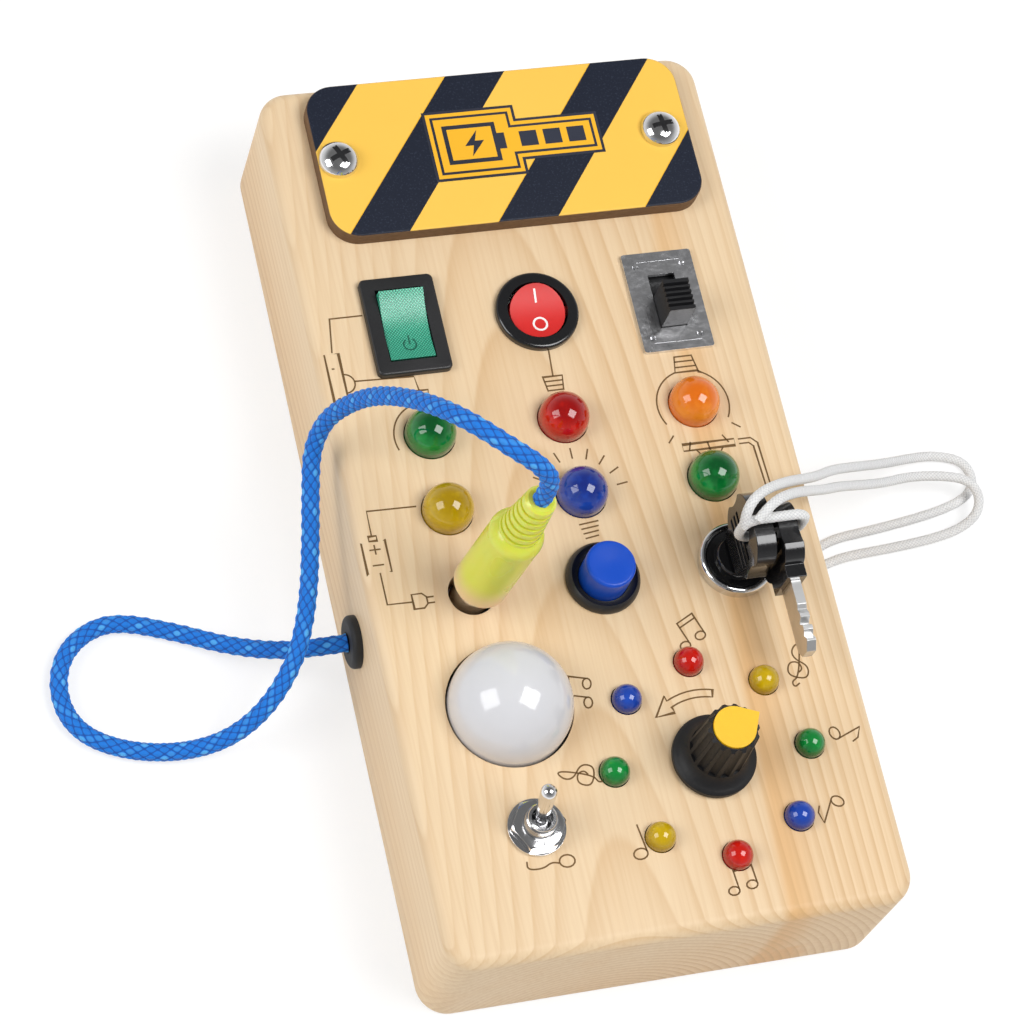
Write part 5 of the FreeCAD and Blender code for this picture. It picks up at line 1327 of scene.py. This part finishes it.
@dataclass
class Controls:
    """The switches, lock, keys, dial, button and plug."""

    shop: Workshop
    drawing: Drawing

    def rockers(self) -> None:
        """The two rocker switches with their signs."""
        self.shop.skin("rocker_housing", Finishes.BLACK, 0.0001)
        self.shop.skin("green_rocker", Finishes.LIT_GREEN, 0.00012)
        self.shop.skin("round_housing", Finishes.GLOSS_BLACK)
        self.shop.skin("red_rocker", Finishes.RED, 0.00012)
        power = [arc((-27.0, 32.9), 1.25, 125, 415, 18), [(-27.0, 32.9), (-27.0, 34.9)]]
        self.drawing.lines("power_sign", power, 0.3, Finishes.GREEN_INK, "green_rocker",
                           SLOT_OF["green_rocker"], ["green_rocker"])
        marks = [[(0.0, 38.8), (0.0, 41.4)], arc((0.0, 34.3), 1.35, 0, 360, 20)]
        self.drawing.lines("on_off_signs", marks, 0.42, Finishes.WHITE_INK, "red_rocker",
                           SLOT_OF["red_rocker"], ["red_rocker"])

    def slide(self) -> None:
        """The slide switch and the embossed line round its slot."""
        self.shop.skin("slide_plate", Finishes.STAMPED, 0.00012)
        self.shop.paint(Finishes.BLACK, "slide_base")
        self.shop.skin("slide_knob", Finishes.SATIN_BLACK, 0.0001)
        frame_lines = [ring([(22.2, 27.4), (31.8, 27.4), (31.8, 45.4), (22.2, 45.4)])]
        self.drawing.lines("embossed_line", frame_lines, 0.35, Finishes.STAMPED, "board",
                           SLOT_OF["slide_plate"], ["slide_plate"])

    def press(self) -> None:
        """The push button and its spring."""
        self.shop.skin("button_housing", Finishes.BLACK)
        self.shop.skin("button_cap", Finishes.BLUE)
        self.shop.skin("button_spring", Finishes.STEEL, 0.0, 60.0)

    def toggle(self) -> None:
        """The bat toggle."""
        self.shop.paint(Finishes.BLACK, "toggle_case")
        self.shop.skin("toggle_bushing", Finishes.THREAD)
        self.shop.skin("toggle_washer", Finishes.CHROME, 0.00006)
        self.shop.skin("toggle_nut", Finishes.CHROME, 0.00008)
        self.shop.skin("toggle_lever", Finishes.CHROME)

    def lock(self) -> None:
        """The lock and both keys."""
        self.shop.skin("lock_housing", Finishes.CHROME, 0.00008)
        self.shop.skin("lock_barrel", Finishes.GLOSS_BLACK, 0.00008)
        for node in ("key_bow", "spare_key_bow"):
            self.shop.skin(node, Finishes.GLOSS_BLACK, 0.00025)
        for node in ("key_blade", "spare_key_blade"):
            self.shop.skin(node, Finishes.NICKEL, 0.00006)

    def dial(self) -> None:
        """The rotary switch and its knob."""
        self.shop.paint(Finishes.BLACK, "rotary_case")
        self.shop.paint(Finishes.BRASS, "rotary_bushing")
        self.shop.paint(Finishes.STEEL, "rotary_shaft")
        self.shop.skin("knob_body", Finishes.SATIN_BLACK)
        self.shop.skin("knob_cap", Finishes.YELLOW, 0.00025)

    def plug(self) -> None:
        """The plug, its socket and the grommet."""
        self.shop.skin("plug_shell", Finishes.PLUG)
        self.shop.skin("plug_pin", Finishes.CHROME)
        self.shop.skin("grommet", Finishes.RUBBER)
        self.shop.skin("socket_sleeve", Finishes.CHROME)
        self.shop.paint(Finishes.BLACK, "socket_body")

    def build(self) -> None:
        """Dress every control."""
        self.rockers()
        self.slide()
        self.press()
        self.toggle()
        self.lock()
        self.dial()
        self.plug()
        self.shop.skin("panel_nuts", Finishes.STEEL, 0.00008)
        self.shop.paint(Finishes.BRASS, "switch_terminals")


@dataclass
class Lamps:
    """The dome, the fourteen lamps and what carries them inside."""

    shop: Workshop

    def build(self) -> None:
        """Dress every lamp."""
        self.shop.skin("dome_cover", Finishes.OPAL)
        colours = {"green": Finishes.LAMP_GREEN, "red": Finishes.LAMP_RED, "orange": Finishes.LAMP_ORANGE,
                   "yellow": Finishes.LAMP_YELLOW, "blue": Finishes.LAMP_BLUE}
        self.shop.skin("lamps_green", colours["green"])
        for colour in ("red", "orange", "yellow", "blue"):
            self.shop.skin(f"lamp_{colour}", colours[colour])
        for colour in ("green", "yellow", "red", "blue"):
            self.shop.skin(f"ring_lamps_{colour}", colours[colour])
        self.shop.paint(Finishes.STEEL, "lamp_leads")
        self.shop.paint(Finishes.CIRCUIT, "lamp_board", "ring_board", "dome_board")


# Floor, light and camera

@dataclass
class Studio:
    """White floor, two square windows of light, an even world and the camera."""

    centre: Point = (0.0, 0.0, 0.0)
    camera_at: Point = (-0.20887, -0.26176, 0.66194)
    right: Point = (0.95429456, -0.21753131, 0.20494393)
    up: Point = (0.11934377, 0.90605105, 0.40599084)
    back: Point = (-0.27400538, -0.36297607, 0.8906006)
    lens: float = 129.97
    reach: float = 1.1
    horizon: float = 0.78
    zenith: float = 0.16
    front: float = 0.34
    paper: Colour = (0.86, 0.86, 0.86)
    glow: float = 1.16
    lift: float = 0.6
    spread: float = 3.0

    def floor(self) -> None:
        """The white surface that the board lies on."""
        shape = bmesh.new()
        bmesh.ops.create_grid(shape, x_segments=2, y_segments=2, size=self.spread)
        mesh = bpy.data.meshes.new("floor")
        shape.to_mesh(mesh)
        shape.free()
        floor = bpy.data.objects.new("floor", mesh)
        floor.location.z = -0.0001
        bpy.context.scene.collection.objects.link(floor)
        p = Painter("white_floor")
        seen = self.seen(p)
        plain = p.node("ShaderNodeBsdfDiffuse", None, {"Color": self.paper})
        glow = p.node("ShaderNodeEmission", None, {"Color": (1.0, 1.0, 1.0), "Strength": self.glow})
        mixed = p.node("ShaderNodeMixShader", None, {
            0: seen * self.lift, 1: Value(p, plain.outputs[0]), 2: Value(p, glow.outputs[0])})
        p.node("ShaderNodeOutputMaterial", None, {"Surface": Value(p, mixed.outputs[0])})
        mesh.materials.append(p.material)

    def seen(self, painter: Painter) -> Value:
        """One for rays from the camera, from gloss and through clear pieces."""
        path = painter.node("ShaderNodeLightPath")
        rays = [Value(painter, path.outputs[name]) for name in
                ("Is Camera Ray", "Is Glossy Ray", "Is Transmission Ray")]
        return rays[0].most(rays[1]).most(rays[2])

    def world(self) -> None:
        """A world that is bright at the horizon, grey overhead and dimmer in front."""
        world = bpy.data.worlds.new("studio")
        bpy.context.scene.world = world
        world.use_nodes = True
        p = Painter("studio_rays")
        p.tree = world.node_tree
        p.tree.nodes.clear()
        way = Value(p, p.node("ShaderNodeTexCoord").outputs["Generated"])
        _, depth, height = p.split(way)
        level = self.horizon - (self.horizon - self.zenith) * height.ease(0.05, 0.8)
        level = level - self.front * (0.0 - depth).ease(0.1, 0.9) * (1.0 - height.ease(0.05, 0.8))
        plain = p.node("ShaderNodeBackground", None, {"Color": (1.0, 1.0, 1.0), "Strength": level})
        p.node("ShaderNodeOutputWorld", None, {"Surface": Value(p, plain.outputs[0])})
        bpy.data.materials.remove(p.material)

    def window(self, name: str, tilt: float, aside: float, above: float, side: float, power: float) -> None:
        """A square light that looks at the board.

        Args:
            name: its name.
            tilt: degrees away from the camera's line.
            aside: the share of the tilt to the picture's right.
            above: the share of the tilt to the picture's top.
            side: the length of its sides.
            power: its power, in watts.
        """
        aim = Vector(self.right) * aside + Vector(self.up) * above
        turn = math.radians(tilt)
        way = Vector(self.back) * math.cos(turn) + aim.normalized() * math.sin(turn)
        lamp = bpy.data.lights.new(name, "AREA")
        lamp.shape = "SQUARE"
        lamp.size = side
        lamp.energy = power
        holder = bpy.data.objects.new(name, lamp)
        bpy.context.scene.collection.objects.link(holder)
        holder.location = Vector(self.centre) + way * self.reach
        holder.rotation_euler = way.to_track_quat("Z", "Y").to_euler()

    def camera(self) -> None:
        """The photograph's viewpoint."""
        data = bpy.data.cameras.new("camera")
        data.sensor_width = 36.0
        data.lens = self.lens
        data.clip_start = 0.01
        camera = bpy.data.objects.new("camera", data)
        bpy.context.scene.collection.objects.link(camera)
        turn = Matrix((self.right, self.up, self.back)).transposed()
        camera.matrix_world = Matrix.Translation(self.camera_at) @ turn.to_4x4()
        bpy.context.scene.camera = camera

    def build(self) -> None:
        """Set up the studio."""
        bpy.context.scene.view_settings.view_transform = "Standard"
        self.floor()
        self.world()
        self.window("window_left", tilt=38.0, aside=-0.95, above=0.3, side=0.6, power=5.2)
        self.window("window_right", tilt=38.0, aside=0.93, above=0.36, side=0.6, power=8.6)
        self.camera()


def main() -> None:
    """Build every sub-assembly in order."""
    shop = Workshop()
    drawing = Drawing(shop)
    Studio().build()
    Block(shop, drawing).build()
    Plate(shop, drawing).build()
    Controls(shop, drawing).build()
    Lamps(shop).build()
    BlueCord(shop).build()
    Lanyard(shop).build()
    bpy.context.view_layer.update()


if __name__ == "__main__":
    main()
